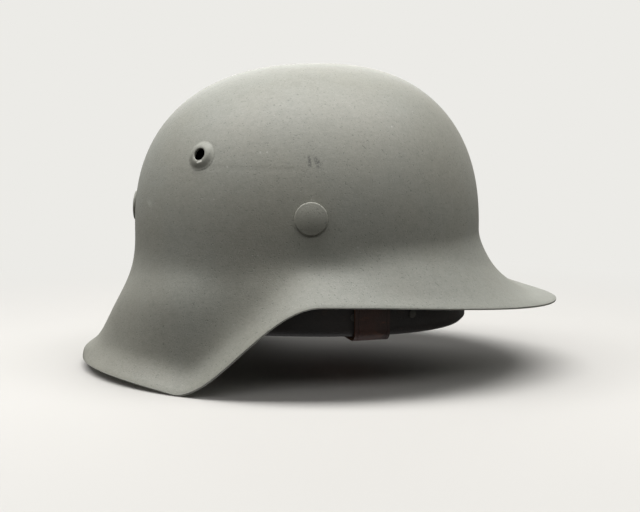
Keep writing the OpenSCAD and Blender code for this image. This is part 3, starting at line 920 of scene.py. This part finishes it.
    def flare(self, along: float, turn: float) -> Vector:
        """Point below the waist, on a smooth curve through soft guides.

        Args:
            along: Share of the way, 0 at the waist and 1 at the rim.
            turn: Angle round the head, 0 at the visor and a quarter turn at the wearer's left.

        Returns:
            The point, in the dome's own frame.
        """
        waist, rim = Vector((*self.plan(turn), self.waist_height)), self.rim(turn)
        points = [Vector(guide) for guide in self.guides(turn)]
        knots = [0, 0, 0, 0, 0.25, 0.5, 0.75, 1, 1, 1, 1]
        span = min(6, 3 + int(along * 4))
        near = [points[span - 3 + k].copy() for k in range(4)]
        for level in range(1, 4):
            for k in range(3, level - 1, -1):
                low = knots[span - 3 + k]
                share = (along - low) / (knots[span + 1 + k - level] - low)
                near[k] = near[k - 1].lerp(near[k], share)
        run, drop = near[3]
        return Vector((mix(waist.x, rim.x, run), mix(waist.y, rim.y, run), mix(waist.z, rim.z, drop)))


@dataclass(frozen=True)
class Layout:
    """Places of the fittings on the die, with Z outward from the steel."""

    die: Die
    vent_back: float = 0.0645
    vent_height: float = 0.130
    rivet_height: float = 0.097
    rivet_back: float = 0.004
    bail: Place = (0.029, 0.0862988, 0.0735)
    bail_facing: float = math.radians(74.6044)

    def side(self, back: float, height: float) -> float:
        """Half width of the dome at a height, some way behind its centre.

        Args:
            back: How far behind the dome's centre.
            height: Height in the dome's own frame.

        Returns:
            The half width.
        """
        die, share = self.die, self.die.share(height)
        return die.dome_half_width * share * (
            1 - (back / (die.dome_back * share)) ** die.plan_fullness) ** (1 / die.plan_fullness)

    def vent(self, side: int) -> Matrix:
        """Frame of the vent on one side.

        Args:
            side: 1 for the wearer's left and -1 for the right.

        Returns:
            The frame, with Z outward.
        """
        die, step = self.die, 1e-5

        def level(p: Vector) -> float:
            """The dome's form: 1 on its outer face and less inside.

            Args:
                p: A point, in the dome's own frame.

            Returns:
                The level.
            """
            ring = (abs(p.x) / die.dome_back) ** die.plan_fullness
            ring += (abs(p.y) / die.dome_half_width) ** die.plan_fullness
            rise = (p.z - die.waist_height) / (die.shell_height - die.waist_height)
            return ring ** (die.dome_fullness / die.plan_fullness) + rise ** die.dome_fullness

        at = Vector((-self.vent_back, self.side(self.vent_back, self.vent_height), self.vent_height))
        steps = [Vector([step if k == m else 0.0 for m in range(3)]) for k in range(3)]
        out = Vector([level(at + d) - level(at - d) for d in steps]).normalized()
        place, out = die.seat(at.x, side * at.y, at.z), Vector((out.x, side * out.y, out.z))
        return Matrix.Translation(place) @ out.to_track_quat("Z", "Y").to_matrix().to_4x4()

    def rivets(self) -> list[Matrix]:
        """Frames of the three split rivets, with Y upright.

        Returns:
            Frames of the left, the right and the rear rivet.
        """
        die, z = self.die, self.rivet_height
        wide = self.side(self.rivet_back, z)
        spots = [((-self.rivet_back, wide, z), (0, 1, 0)), ((-self.rivet_back, -wide, z), (0, -1, 0)),
                 ((-die.dome_back * die.share(z), 0, z), (-1, 0, 0))]
        frames = []
        for at, out in spots:
            across = Vector((0, 0, 1)).cross(Vector(out))
            turn = Matrix((across, Vector((0, 0, 1)), Vector(out))).transposed()
            frames.append(Matrix.Translation(die.seat(*at)) @ turn.to_4x4())
        return frames

    def hung(self, x: float, y: float, z: float, side: int) -> Vector:
        """A point from a bail's own axes, which start at its top wire.

        Args:
            x: How far outward.
            y: How far back along the wall.
            z: How far up.
            side: 1 for the wearer's left and -1 for the right.

        Returns:
            The point, in the helmet's frame.
        """
        cos, sin = math.cos(self.bail_facing), math.sin(self.bail_facing)
        return self.die.seat(self.bail[0] + x * cos - y * sin, side * (self.bail[1] + x * sin + y * cos),
                             self.bail[2] + z)


@dataclass
class Maker:
    """A maker of one piece, with the places it goes by and the finishes it uses."""

    layout: Layout
    wardrobe: Wardrobe

    def make(self) -> Piece:
        """Makes the piece, as each kind of maker does."""
        raise NotImplementedError


@dataclass
class Shell(Maker):
    """Steel shell with its two stamped vents.

    boss_throat is the way up the inside of a vent's ring: distance outside the vent's radius, and share
    of the ring's height.
    """

    steel: float = 0.0012
    edge: float = 0.00025
    columns: int = 192
    dome_rows: int = 44
    flare_rows: int = 34
    vent_radius: float = 0.0034
    vent_bore: float = 0.0050
    boss_radius: float = 0.0086
    boss_height: float = 0.0020
    boss_throat: tuple[Spot, ...] = (
        (0.0008, 0.0), (0.0001, 0.45), (0.0, 0.7), (0.00008, 0.86), (0.0003, 0.97))
    boss_crest: float = 0.12
    boss_sink: float = 0.0002
    rivet_hole: float = 0.00245
    bore_depth: float = 0.012
    sides: int = 72

    def press(self) -> Piece:
        """Draws a half sphere down into the shell's outer face.

        Returns:
            The outer face, as a sheet without thickness.
        """
        die, radius, step = self.layout.die, self.layout.die.dome_half_width, 0.002
        Shop.clear()
        bpy.ops.mesh.primitive_uv_sphere_add(segments=self.columns, ring_count=2 * self.dome_rows,
                                             radius=radius)
        piece = bpy.context.object
        Shop.mark(piece, lambda centre, normal: centre.z < 0)
        bpy.ops.mesh.delete(type="FACE")
        Shop.mark(piece, lambda a, b: abs(a.z) < 1e-6 and abs(b.z) < 1e-6, "EDGE")
        for _ in range(self.flare_rows):
            bpy.ops.mesh.extrude_region_move(TRANSFORM_OT_translate={"value": (0, 0, -step)})
        bpy.ops.object.mode_set(mode="OBJECT")
        for vertex in piece.data.vertices:
            x, y, z = vertex.co
            turn = math.atan2(y, x)
            if z > -1e-6:
                place = die.dome(math.acos(min(1.0, max(0.0, z / radius))), turn)
            else:
                place = die.flare(min(1.0, round(-z / step) / self.flare_rows), turn)
            vertex.co = die.seat(*place)
        Shop.heal(piece)
        return piece

    def boss(self, side: int) -> Piece:
        """Ring stamped up round a vent, steep inside and long outside.

        Args:
            side: 1 for the wearer's left and -1 for the right.

        Returns:
            The ring.
        """
        rise, hole = self.boss_height, self.vent_radius
        throat = [(hole + out, up * rise) for out, up in self.boss_throat]
        flank = [(hole + (self.boss_radius - hole) * mix(self.boss_crest, 1.0, u),
                  rise * (1 - smooth(u ** 1.2)) - self.boss_sink * u) for u in (k / 12 for k in range(13))]
        skirt = (self.boss_radius - 0.0005, -0.0008)
        piece = Shop.turned([(self.vent_bore, -0.0013), *throat, *flank, skirt], self.sides)
        return Shop.settle(piece, self.layout.vent(side))

    def make(self) -> Piece:
        """Presses, thickens, pierces and paints the shell.

        Returns:
            The shell.
        """
        shell = self.press()
        self.wardrobe.dress(shell, Slot.PAINT)
        Shop.thicken(shell, self.steel, -1.0)
        Shop.ease(shell, self.edge, 50)
        drills = [Shop.drill(self.vent_bore, self.bore_depth, self.layout.vent(side), self.sides)
                  for side in (1, -1)]
        drills += [Shop.drill(self.rivet_hole, self.bore_depth, frame) for frame in self.layout.rivets()]
        Shop.cut(shell, drills)
        bosses = [self.boss(side) for side in (1, -1)]
        for boss in bosses:
            self.wardrobe.dress(boss, Slot.PAINT)
        shell = Shop.join([shell, *bosses], "steel_shell")
        Shop.gloss(shell, 40)
        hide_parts("shell")
        return shell


@dataclass
class SplitRivets(Maker):
    """Three split rivets: a low flat head outside, and two legs spread behind the outer band.

    neck is the way in under the head: share of its radius, and share of the gap below it.
    """

    head_radius: float = 0.009
    head_height: float = 0.0026
    head_dome: float = 0.0011
    head_roll: float = 0.0008
    head_gap: float = 0.0006
    neck: tuple[Spot, ...] = ((0.80, 1.0), (0.62, 0.4))
    foot: float = 0.0002
    lean: float = math.radians(3)
    shank_radius: float = 0.0024
    leg: float = 0.013
    leg_width: float = 0.004
    leg_thickness: float = 0.0009
    leg_start: float = 0.0006
    leg_rise: float = 0.0014
    drop: float = 0.003875

    def head(self) -> Piece:
        """Head and shank, turned in one.

        Returns:
            The head and shank, at the origin.
        """
        r, h, roll, shank = self.head_radius, self.head_height, self.head_roll, self.shank_radius
        low = h - self.head_dome
        face = [(k / 8 * (r - roll), h - self.head_dome * (k / 8) ** 2) for k in range(9)]
        edge = [(r - roll * (1 - math.sin(turn)), low - roll * (1 - math.cos(turn)))
                for turn in (math.radians(20 * k) for k in range(1, 9))]
        neck = [(share * r, gap * self.head_gap) for share, gap in self.neck]
        stem = [(0.60 * r, -self.foot), (shank, -self.foot), (shank, -self.drop - 0.0010),
                (0.0, -self.drop - 0.0012)]
        return Shop.turned([*face, *edge, *neck, *stem], 72)

    def spread_leg(self, way: int) -> Piece:
        """One leg, bent over behind the band, with a round end.

        Args:
            way: 1 or -1, for the way along the rivet's X that it is bent.

        Returns:
            The leg, at the origin.
        """
        def form(along: float, across: float) -> Vector:
            """Place of a point of the leg.

            Args:
                along: Share of the leg's length.
                across: Share of the leg's width.

            Returns:
                The point, from the rivet's own origin.
            """
            reach = along * self.leg
            tip = max(0.0, (reach - self.leg + self.leg_width / 2) / (self.leg_width / 2))
            half = self.leg_width / 2 * math.sqrt(max(0.02, 1 - tip * tip))
            depth = self.drop + self.leg_start + self.leg_rise * along ** 1.5
            return Vector((way * reach, (2 * across - 1) * half, -depth))

        leg = Shop.sheet(18, 6, form)
        Shop.thicken(leg, self.leg_thickness, rim=0)
        Shop.ease(leg, 0.0002, 50)
        return leg

    def make(self) -> Piece:
        """Sets the three rivets.

        Returns:
            The rivets, joined.
        """
        parts = []
        for frame in self.layout.rivets():
            lean = Matrix.Rotation(-self.lean, 4, "X")
            for part, seat in ((self.head(), frame @ lean), (self.spread_leg(1), frame),
                               (self.spread_leg(-1), frame)):
                self.wardrobe.dress(part, Slot.PAINT)
                parts.append(Shop.settle(part, seat))
        rivets = Shop.join(parts, "liner_split_rivets")
        Shop.gloss(rivets, 32)
        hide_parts("split_rivets")
        return rivets


@dataclass
class LeatherLiner(Maker):
    """Leather folded round the inner band's lower edge and parted above into eight tongues.

    Each of the holes has its share across a tongue, from -1 to 1, its share of the tongue's length and
    its radius.
    """

    outer_inset: float = 0.008325
    inner_inset: float = 0.013875
    band_bottom: float = 0.035
    fold_height: float = 0.013
    tongue_start: float = 0.092
    tongue_top: float = 0.149
    crown_opening: float = 0.26
    leather: float = 0.0013
    sag: float = 0.0016
    ripple: float = 0.0006
    fine_ripple: float = 0.0004
    bow: float = 0.0016
    sway: float = 0.0009
    tip_lift: float = 0.0008
    tip_start: float = 0.74
    ease_height: float = 0.03
    tongues: int = 8
    cells: int = 14
    slot_half: float = math.radians(0.9)
    skirt_rows: int = 34
    tongue_rows: int = 30
    holes: tuple[Place, ...] = ((0.0, 0.16, 0.0013), (-0.28, 0.30, 0.0013), (0.28, 0.30, 0.0013),
                                (0.0, 0.44, 0.0013), (0.0, 0.62, 0.0013), (0.0, 0.90, 0.0017))

    @property
    def columns(self) -> int:
        """Cells round the leather, with one for the slot after each tongue."""
        return self.tongues * (self.cells + 1)

    @property
    def split(self) -> float:
        """Share of the leather's height where the tongues part."""
        return self.skirt_rows / (self.skirt_rows + self.tongue_rows)

    def profile(self, share: float) -> Spot:
        """Inset and height along the band: down the outer fold, round below and up inside.

        Args:
            share: Share of the way, from the outer fold's upper edge.

        Returns:
            The inset and the height.
        """
        fold = (self.inner_inset - self.outer_inset) / 2
        foot = self.band_bottom - 0.0003
        lengths = (self.fold_height, math.pi * fold, self.tongue_start - foot)
        run = share * sum(lengths)
        if run < lengths[0]:
            return self.outer_inset, self.band_bottom + self.fold_height - run
        if run < lengths[0] + lengths[1]:
            angle = (run - lengths[0]) / fold
            return self.outer_inset + fold * (1 - math.cos(angle)), foot - fold * math.sin(angle)
        return self.inner_inset, foot + run - lengths[0] - lengths[1]

    def form(self, around: float, up: float) -> Vector:
        """Place of a point of the flat leather.

        Args:
            around: Share of the way round the head.
            up: Share of the flat leather's height.

        Returns:
            The point, in the helmet's frame.
        """
        die, column = self.layout.die, around * self.columns
        tongue = min(self.tongues - 1, int((column + 1e-6) // (self.cells + 1)))
        u = 2 * (column - tongue * (self.cells + 1)) / self.cells - 1
        middle = (tongue + 0.5) * 2 * math.pi / self.tongues
        half = math.pi / self.tongues - self.slot_half
        rise = max(0.0, (up - self.split) / (1 - self.split))
        round_off = max(0.0, (rise - self.tip_start) / (1 - self.tip_start))
        turn = middle + u * half * math.sqrt(max(0.03, 1 - 0.97 * round_off ** 2.2))
        wave = self.ripple * math.sin(3 * turn + 1.3) + self.fine_ripple * math.sin(7 * turn)
        if rise <= 0:
            inset, height = self.profile(up / self.split)
            above = height - self.band_bottom
            ease = smooth(above / self.ease_height) if inset > self.outer_inset + 1e-6 else 0.0
            x, y = die.plan(turn, inset + wave * ease)
            loose = max(0.0, math.cos(turn)) ** 2 * (1 - smooth((above + 0.003) / self.ease_height))
            return die.seat(x, y, height - self.sag * loose)
        bend = (self.bow * smooth(rise * 3) * (u * u - 0.4)
                + self.sway * math.sin(tongue * 2.4 + 5 * rise) * rise)
        end = math.asin(self.crown_opening ** (die.dome_fullness / 2))
        place = die.dome(mix(math.pi / 2, end, rise), turn, self.inner_inset + wave + bend,
                         self.tongue_start, self.tongue_top + self.tip_lift * math.sin(tongue * 1.9))
        return die.seat(*place)

    def punches(self) -> list[Piece]:
        """Round cutters: five air holes and a lace hole through each tongue.

        Returns:
            The cutters.
        """
        punches, split = [], self.split
        for tongue in range(self.tongues):
            for u, rise, radius in self.holes:
                around = (tongue * (self.cells + 1) + (u + 1) * self.cells / 2) / self.columns
                at = [self.form(around, split + (rise + d) * (1 - split)) for d in (-0.01, 0.0, 0.01)]
                beside = self.form(around + 0.002, split + rise * (1 - split))
                out = (at[2] - at[0]).cross(beside - at[1])
                turn = out.to_track_quat("Z", "Y").to_matrix().to_4x4()
                punches.append(Shop.drill(radius, 0.006, Matrix.Translation(at[1]) @ turn, 16))
        return punches

    def slot(self, around: float, up: float) -> bool:
        """Whether a cell is cut away between two tongues."""
        return up > self.split and int(around * self.columns) % (self.cells + 1) == self.cells

    def make(self) -> Piece:
        """Cuts, folds, thickens and punches the leather.

        Returns:
            The liner.
        """
        liner = Shop.sheet(self.columns, self.skirt_rows + self.tongue_rows, self.form, self.slot)
        self.wardrobe.dress(liner, Slot.LINER)
        Shop.thicken(liner, self.leather)
        Shop.cut(liner, self.punches())
        Shop.ease(liner, 0.00025, 60)
        Shop.join([liner], "leather_head_liner")
        Shop.gloss(liner, 45)
        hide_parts("leather_liner")
        return liner


@dataclass
class FeltPad(Maker):
    """Ring of felt between the inner band and the leather, soft at its edges."""

    inset: float = 0.010575
    thickness: float = 0.0025
    bottom: float = 0.04615
    height: float = 0.034
    swell: float = 0.10
    lumps: float = 0.06
    edge_wave: float = 0.0004

    def form(self, around: float, girth: float) -> Vector:
        """Place of a point of the pad.

        Args:
            around: Share of the way round the head.
            girth: Share of the way round the pad's section.

        Returns:
            The point, in the helmet's frame.
        """
        angle, turn = 2 * math.pi * girth, 2 * math.pi * around
        half = self.thickness / 2
        thick = half * (1 - self.swell * (0.5 + 0.5 * math.sin(9 * turn))
                        - self.lumps * math.sin(23 * turn + 2))
        out = thick * signed_power(math.cos(angle), 0.35)
        tall = self.height / 2 - self.edge_wave * (1 + math.sin(11 * turn))
        up = tall * signed_power(math.sin(angle), 0.6)
        x, y = self.layout.die.plan(turn, self.inset + half + out)
        return self.layout.die.seat(x, y, self.bottom + self.height / 2 + up)

    def make(self) -> Piece:
        """Forms the pad.

        Returns:
            The pad.
        """
        pad = Shop.sheet(200, 40, self.form)
        self.wardrobe.dress(pad, Slot.FELT)
        Shop.join([pad], "felt_ring")
        Shop.gloss(pad, 70)
        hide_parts("felt_pad")
        return pad


@dataclass
class ChinStrap(Maker):
    """One half of the chin strap: an eye on the bail, a doubled stretch, a bend and a flat reach.

    throat is X and Z of the leather's middle where it closes below the bail, and buckle_entry the same
    from the buckle's bar, where it meets the buckle.
    """

    side: int
    node: str
    name: str
    reach: float
    buckle_eye: bool
    bail_drop: float = 0.013
    eye: float = 0.0022
    width: float = 0.020
    leather: float = 0.0018
    throat: tuple[Spot, ...] = ((0.0014, -0.0150), (0.0010, -0.0168), (0.0009, -0.0185))
    double_end: float = -0.024
    bend_height: float = -0.038
    bend: float = 0.005
    buckle_entry: tuple[Spot, ...] = ((0.0045, 0.0), (0.0030, -0.0004))
    slot: Place = (0.0128, 0.0036, 0.012)
    slot_shift: float = 0.0016
    tip: float = 0.012
    holes: int = 6
    hole_radius: float = 0.0018
    hole_start: float = 0.016
    hole_pitch: float = 0.010
    cells: int = 150

    @property
    def level(self) -> float:
        """Height of the flat reach's middle."""
        return self.bend_height - self.bend - self.leather / 2

    @property
    def far(self) -> float:
        """X of the flat reach's end."""
        return -self.bend - self.reach

    def path(self) -> list[Spot]:
        """X and Z of the leather's middle, from its inner end round the bail and down to its tip.

        Returns:
            The points, in the bail's own axes.
        """
        half = self.leather / 2
        points = [(-half - 0.00005, self.double_end), *((-x, z) for x, z in reversed(self.throat))]
        points += [(self.eye * math.cos(a), self.eye * math.sin(a) - self.bail_drop)
                   for a in (math.radians(210 - 20 * k) for k in range(13))]
        points += [*self.throat, (half, self.bend_height)]
        turn = self.bend + half
        points += [(turn * math.cos(a) - self.bend, turn * math.sin(a) + self.bend_height)
                   for a in (math.radians(-15 * k) for k in range(1, 7))]
        level, far = self.level, self.far
        if not self.buckle_eye:
            return [*points, (far, level)]
        wrap = self.eye + 0.0001
        points += [(far + x, level + z) for x, z in self.buckle_entry]
        points += [(far + wrap * math.cos(a), level + wrap * math.sin(a))
                   for a in (math.radians(-50 - 20 * k) for k in range(12))]
        return points

    def stations(self) -> tuple[list[Spot], float]:
        """Spaces points evenly along the path.

        Returns:
            The points, and the path's length.
        """
        path = self.path()
        runs = [0.0]
        for (x0, z0), (x1, z1) in zip(path, path[1:]):
            runs.append(runs[-1] + math.hypot(x1 - x0, z1 - z0))
        spots, k = [], 0
        for step in range(self.cells + 1):
            want = runs[-1] * step / self.cells
            while k < len(path) - 2 and runs[k + 1] < want:
                k += 1
            share = (want - runs[k]) / (runs[k + 1] - runs[k])
            spots.append((mix(path[k][0], path[k + 1][0], share), mix(path[k][1], path[k + 1][1], share)))
        return spots, runs[-1]

    def make(self) -> Piece:
        """Cuts the strap, bends it along its path and pierces it.

        Returns:
            The strap.
        """
        spots, length = self.stations()

        def form(along: float, across: float) -> Vector:
            """Place of a point of the flat strap.

            Args:
                along: Share of the path's length.
                across: Share of the strap's width.

            Returns:
                The point, in the helmet's frame.
            """
            x, z = spots[round(along * self.cells)]
            half = self.width / 2
            if not self.buckle_eye:
                tip = max(0.0, 1 - (1 - along) * length / self.tip)
                half *= math.sqrt(max(0.004, 1 - tip ** 1.7))
            sway = 0.0003 * math.sin(along * 9) * (2 * across - 1)
            return self.layout.hung(x, (2 * across - 1) * half, z + sway, self.side)

        strap = Shop.sheet(self.cells, 16, form)
        self.wardrobe.dress(strap, Slot.STRAP)
        Shop.thicken(strap, self.leather - 0.0001)
        Shop.cut(strap, [self.slotter()] if self.buckle_eye else self.punches())
        Shop.ease(strap, 0.0003, 55, 3)
        Shop.join([strap], self.name)
        Shop.gloss(strap, 50)
        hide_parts(self.node)
        return strap

    def punches(self) -> list[Piece]:
        """Round cutters for the long strap's row of holes.

        Returns:
            The cutters.
        """
        first = self.far + self.hole_start
        spots = [self.layout.hung(first + self.hole_pitch * k, 0.0, self.level, self.side)
                 for k in range(self.holes)]
        return [Shop.drill(self.hole_radius, 0.008, Matrix.Translation(spot)) for spot in spots]

    def slotter(self) -> Piece:
        """Cutter for the prong's slot in the buckle's eye.

        Returns:
            The cutter.
        """
        Shop.clear()
        bpy.ops.mesh.primitive_cube_add(size=1.0)
        tool = bpy.context.object
        Shop.mark(tool, lambda a, b: abs(a.z - b.z) > 0.5, "EDGE")
        bpy.ops.mesh.bevel(offset=0.2, segments=4)
        bpy.ops.object.mode_set(mode="OBJECT")
        place = Matrix.Translation(self.layout.hung(self.far - self.slot_shift, 0.0, self.level, self.side))
        turn = Matrix.Rotation(self.side * self.layout.bail_facing, 4, "Z")
        return Shop.settle(tool, place @ turn @ Matrix.Diagonal((*self.slot, 1.0)))


@dataclass(frozen=True)
class Lamp:
    """A soft rectangular lamp that faces the helmet.

    Attributes:
        name: The lamp's name.
        place: Its middle, in metres.
        size: Its length along X and its width.
        power: Its power in watts.
    """

    name: str
    place: Place
    size: Spot
    power: float

    def hang(self) -> None:
        """Adds the lamp."""
        Shop.clear()
        back = (Vector(self.place) - Vector((0, 0, 0.08))).normalized()
        upright = back.cross(Vector((1, 0, 0))).normalized()
        turn = Matrix((upright.cross(back), upright, back)).transposed()
        bpy.ops.object.light_add(type="AREA", location=self.place, rotation=turn.to_euler())
        light = bpy.context.object
        light.name = self.name
        light.data.shape = "RECTANGLE"
        light.data.size, light.data.size_y = self.size
        light.data.energy = self.power


@dataclass
class Studio:
    """Plain pale floor and backdrop, soft lamps round the helmet, and the camera of the view."""

    target: Place = (0.00071, 0.0, 0.065711)
    distance: float = 0.700
    elevation: float = math.radians(7)
    focal: float = 1130.0
    frame_width: float = 640.0
    sensor: float = 36.0
    floor: Colour = linear(190, 188, 184)
    floor_bounce: Colour = linear(66, 64, 61)
    backdrop: Colour = linear(236, 235, 231)
    floor_radius: float = 6.0
    fade_start: float = 0.16
    fade_width: float = 0.36
    ambient: float = 0.015
    lamps: tuple[Lamp, ...] = (
        Lamp("key_above", (-0.06, -0.08, 1.15), (2.0, 0.5), 27.5),
        Lamp("front_above", (0.20, -0.90, 0.95), (1.5, 0.4), 4.0),
        Lamp("rim_behind", (-0.1, 1.3, 0.8), (1.2, 0.8), 8.0),
        Lamp("neck_side", (-1.1, -0.35, 0.8), (0.9, 0.9), 2.4),
        Lamp("under_soft", (0.0, 0.0, -1.8), (1.2, 1.2), 17.0),
    )

    def camera(self) -> None:
        """Places the camera at the photographed angle, on the helmet's right."""
        Shop.clear()
        away = Vector((0, -math.cos(self.elevation), math.sin(self.elevation))) * self.distance
        turn = away.to_track_quat("Z", "Y").to_euler()
        bpy.ops.object.camera_add(location=Vector(self.target) + away, rotation=turn)
        camera = bpy.context.object
        camera.data.sensor_width = self.sensor
        camera.data.lens = self.sensor * self.focal / self.frame_width
        camera.data.clip_start, camera.data.clip_end = 0.01, 50.0
        bpy.context.scene.camera = camera

    def sky(self) -> None:
        """Sets the world: a weak even fill, shown to the camera and to gloss as a pale backdrop."""
        bench = Bench("studio", world=True)
        fill = bench.node("Background", {0: (1.0, 1.0, 1.0, 1.0), 1: self.ambient})
        shown = bench.node("Background", {0: (*self.backdrop, 1.0), 1: 1.0})
        plain = bench.path("Camera").most(bench.path("Glossy"))
        bpy.context.scene.world = bench.end(bench.mixed(plain, fill, shown))

    def ground(self) -> None:
        """Lays a round floor that fades into the backdrop, and is clear from below and to shadows."""
        Shop.clear()
        bpy.ops.mesh.primitive_circle_add(vertices=96, radius=self.floor_radius, fill_type="NGON",
                                          location=(0, 0, 0))
        floor = bpy.context.object
        floor.name = "floor"
        bench = Bench("pale_floor")
        x, y, _ = bench.axes()
        seen = bench.path("Camera")
        colour = bench.blend(seen, self.floor_bounce, self.floor)
        cloth = bench.node("BsdfPrincipled", {
            "Base Color": colour, "Roughness": 0.9, "Specular IOR Level": 0.1})
        pale = bench.node("Emission", {"Color": (*self.backdrop, 1.0), "Strength": 1.0})
        far = ((x * x + y * y) ** 0.5).over(self.fade_start, self.fade_width) * seen
        under = Field(bench, bench.node("NewGeometry").outputs["Backfacing"]).most(bench.path("Shadow"))
        above = bench.mixed(far, cloth, pale)
        floor.data.materials.append(bench.end(bench.mixed(under, above, bench.node("BsdfTransparent"))))

    def build(self) -> None:
        """Sets camera, floor, lamps and world."""
        self.camera()
        self.ground()
        for lamp in self.lamps:
            lamp.hang()
        self.sky()
        bpy.context.scene.view_settings.view_transform = "Standard"


class Helmet:
    """The whole helmet: its CAD fittings repainted, and its formed pieces made and hung on their bodies."""

    def __init__(self, frame: dict[str, object]) -> None:
        """Mixes the finishes and repaints the CAD nodes.
        """
        self.wardrobe = Wardrobe()
        self.layout = Layout(Die())
        for entry in frame["record"]["subparts"]:
            self.wardrobe.repaint(frame["nodes"][entry["node"]], Slot(entry["material_slot"]))

    def build(self) -> None:
        """Makes every formed piece."""
        kit = (self.layout, self.wardrobe)
        makers = [
            (Shell(*kit), "helmet"), (SplitRivets(*kit), "helmet"), (LeatherLiner(*kit), "helmet"),
            (FeltPad(*kit), "helmet"),
            (ChinStrap(*kit, -1, "strap_right", "long_chin_strap", 0.095, False), "strap_right_body"),
            (ChinStrap(*kit, 1, "strap_left", "short_chin_strap", 0.034, True), "strap_left_body"),
        ]
        for maker, body in makers:
            piece = maker.make()
            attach(piece, body)
            LOG.info("%s: %d faces", piece.name, len(piece.data.polygons))


def main() -> None:
    """Builds the studio and the helmet."""
    logging.basicConfig(level=logging.INFO, format="%(name)s: %(message)s")
    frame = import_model()
    Studio().build()
    Helmet(frame).build()


if __name__ == "__main__":
    main()
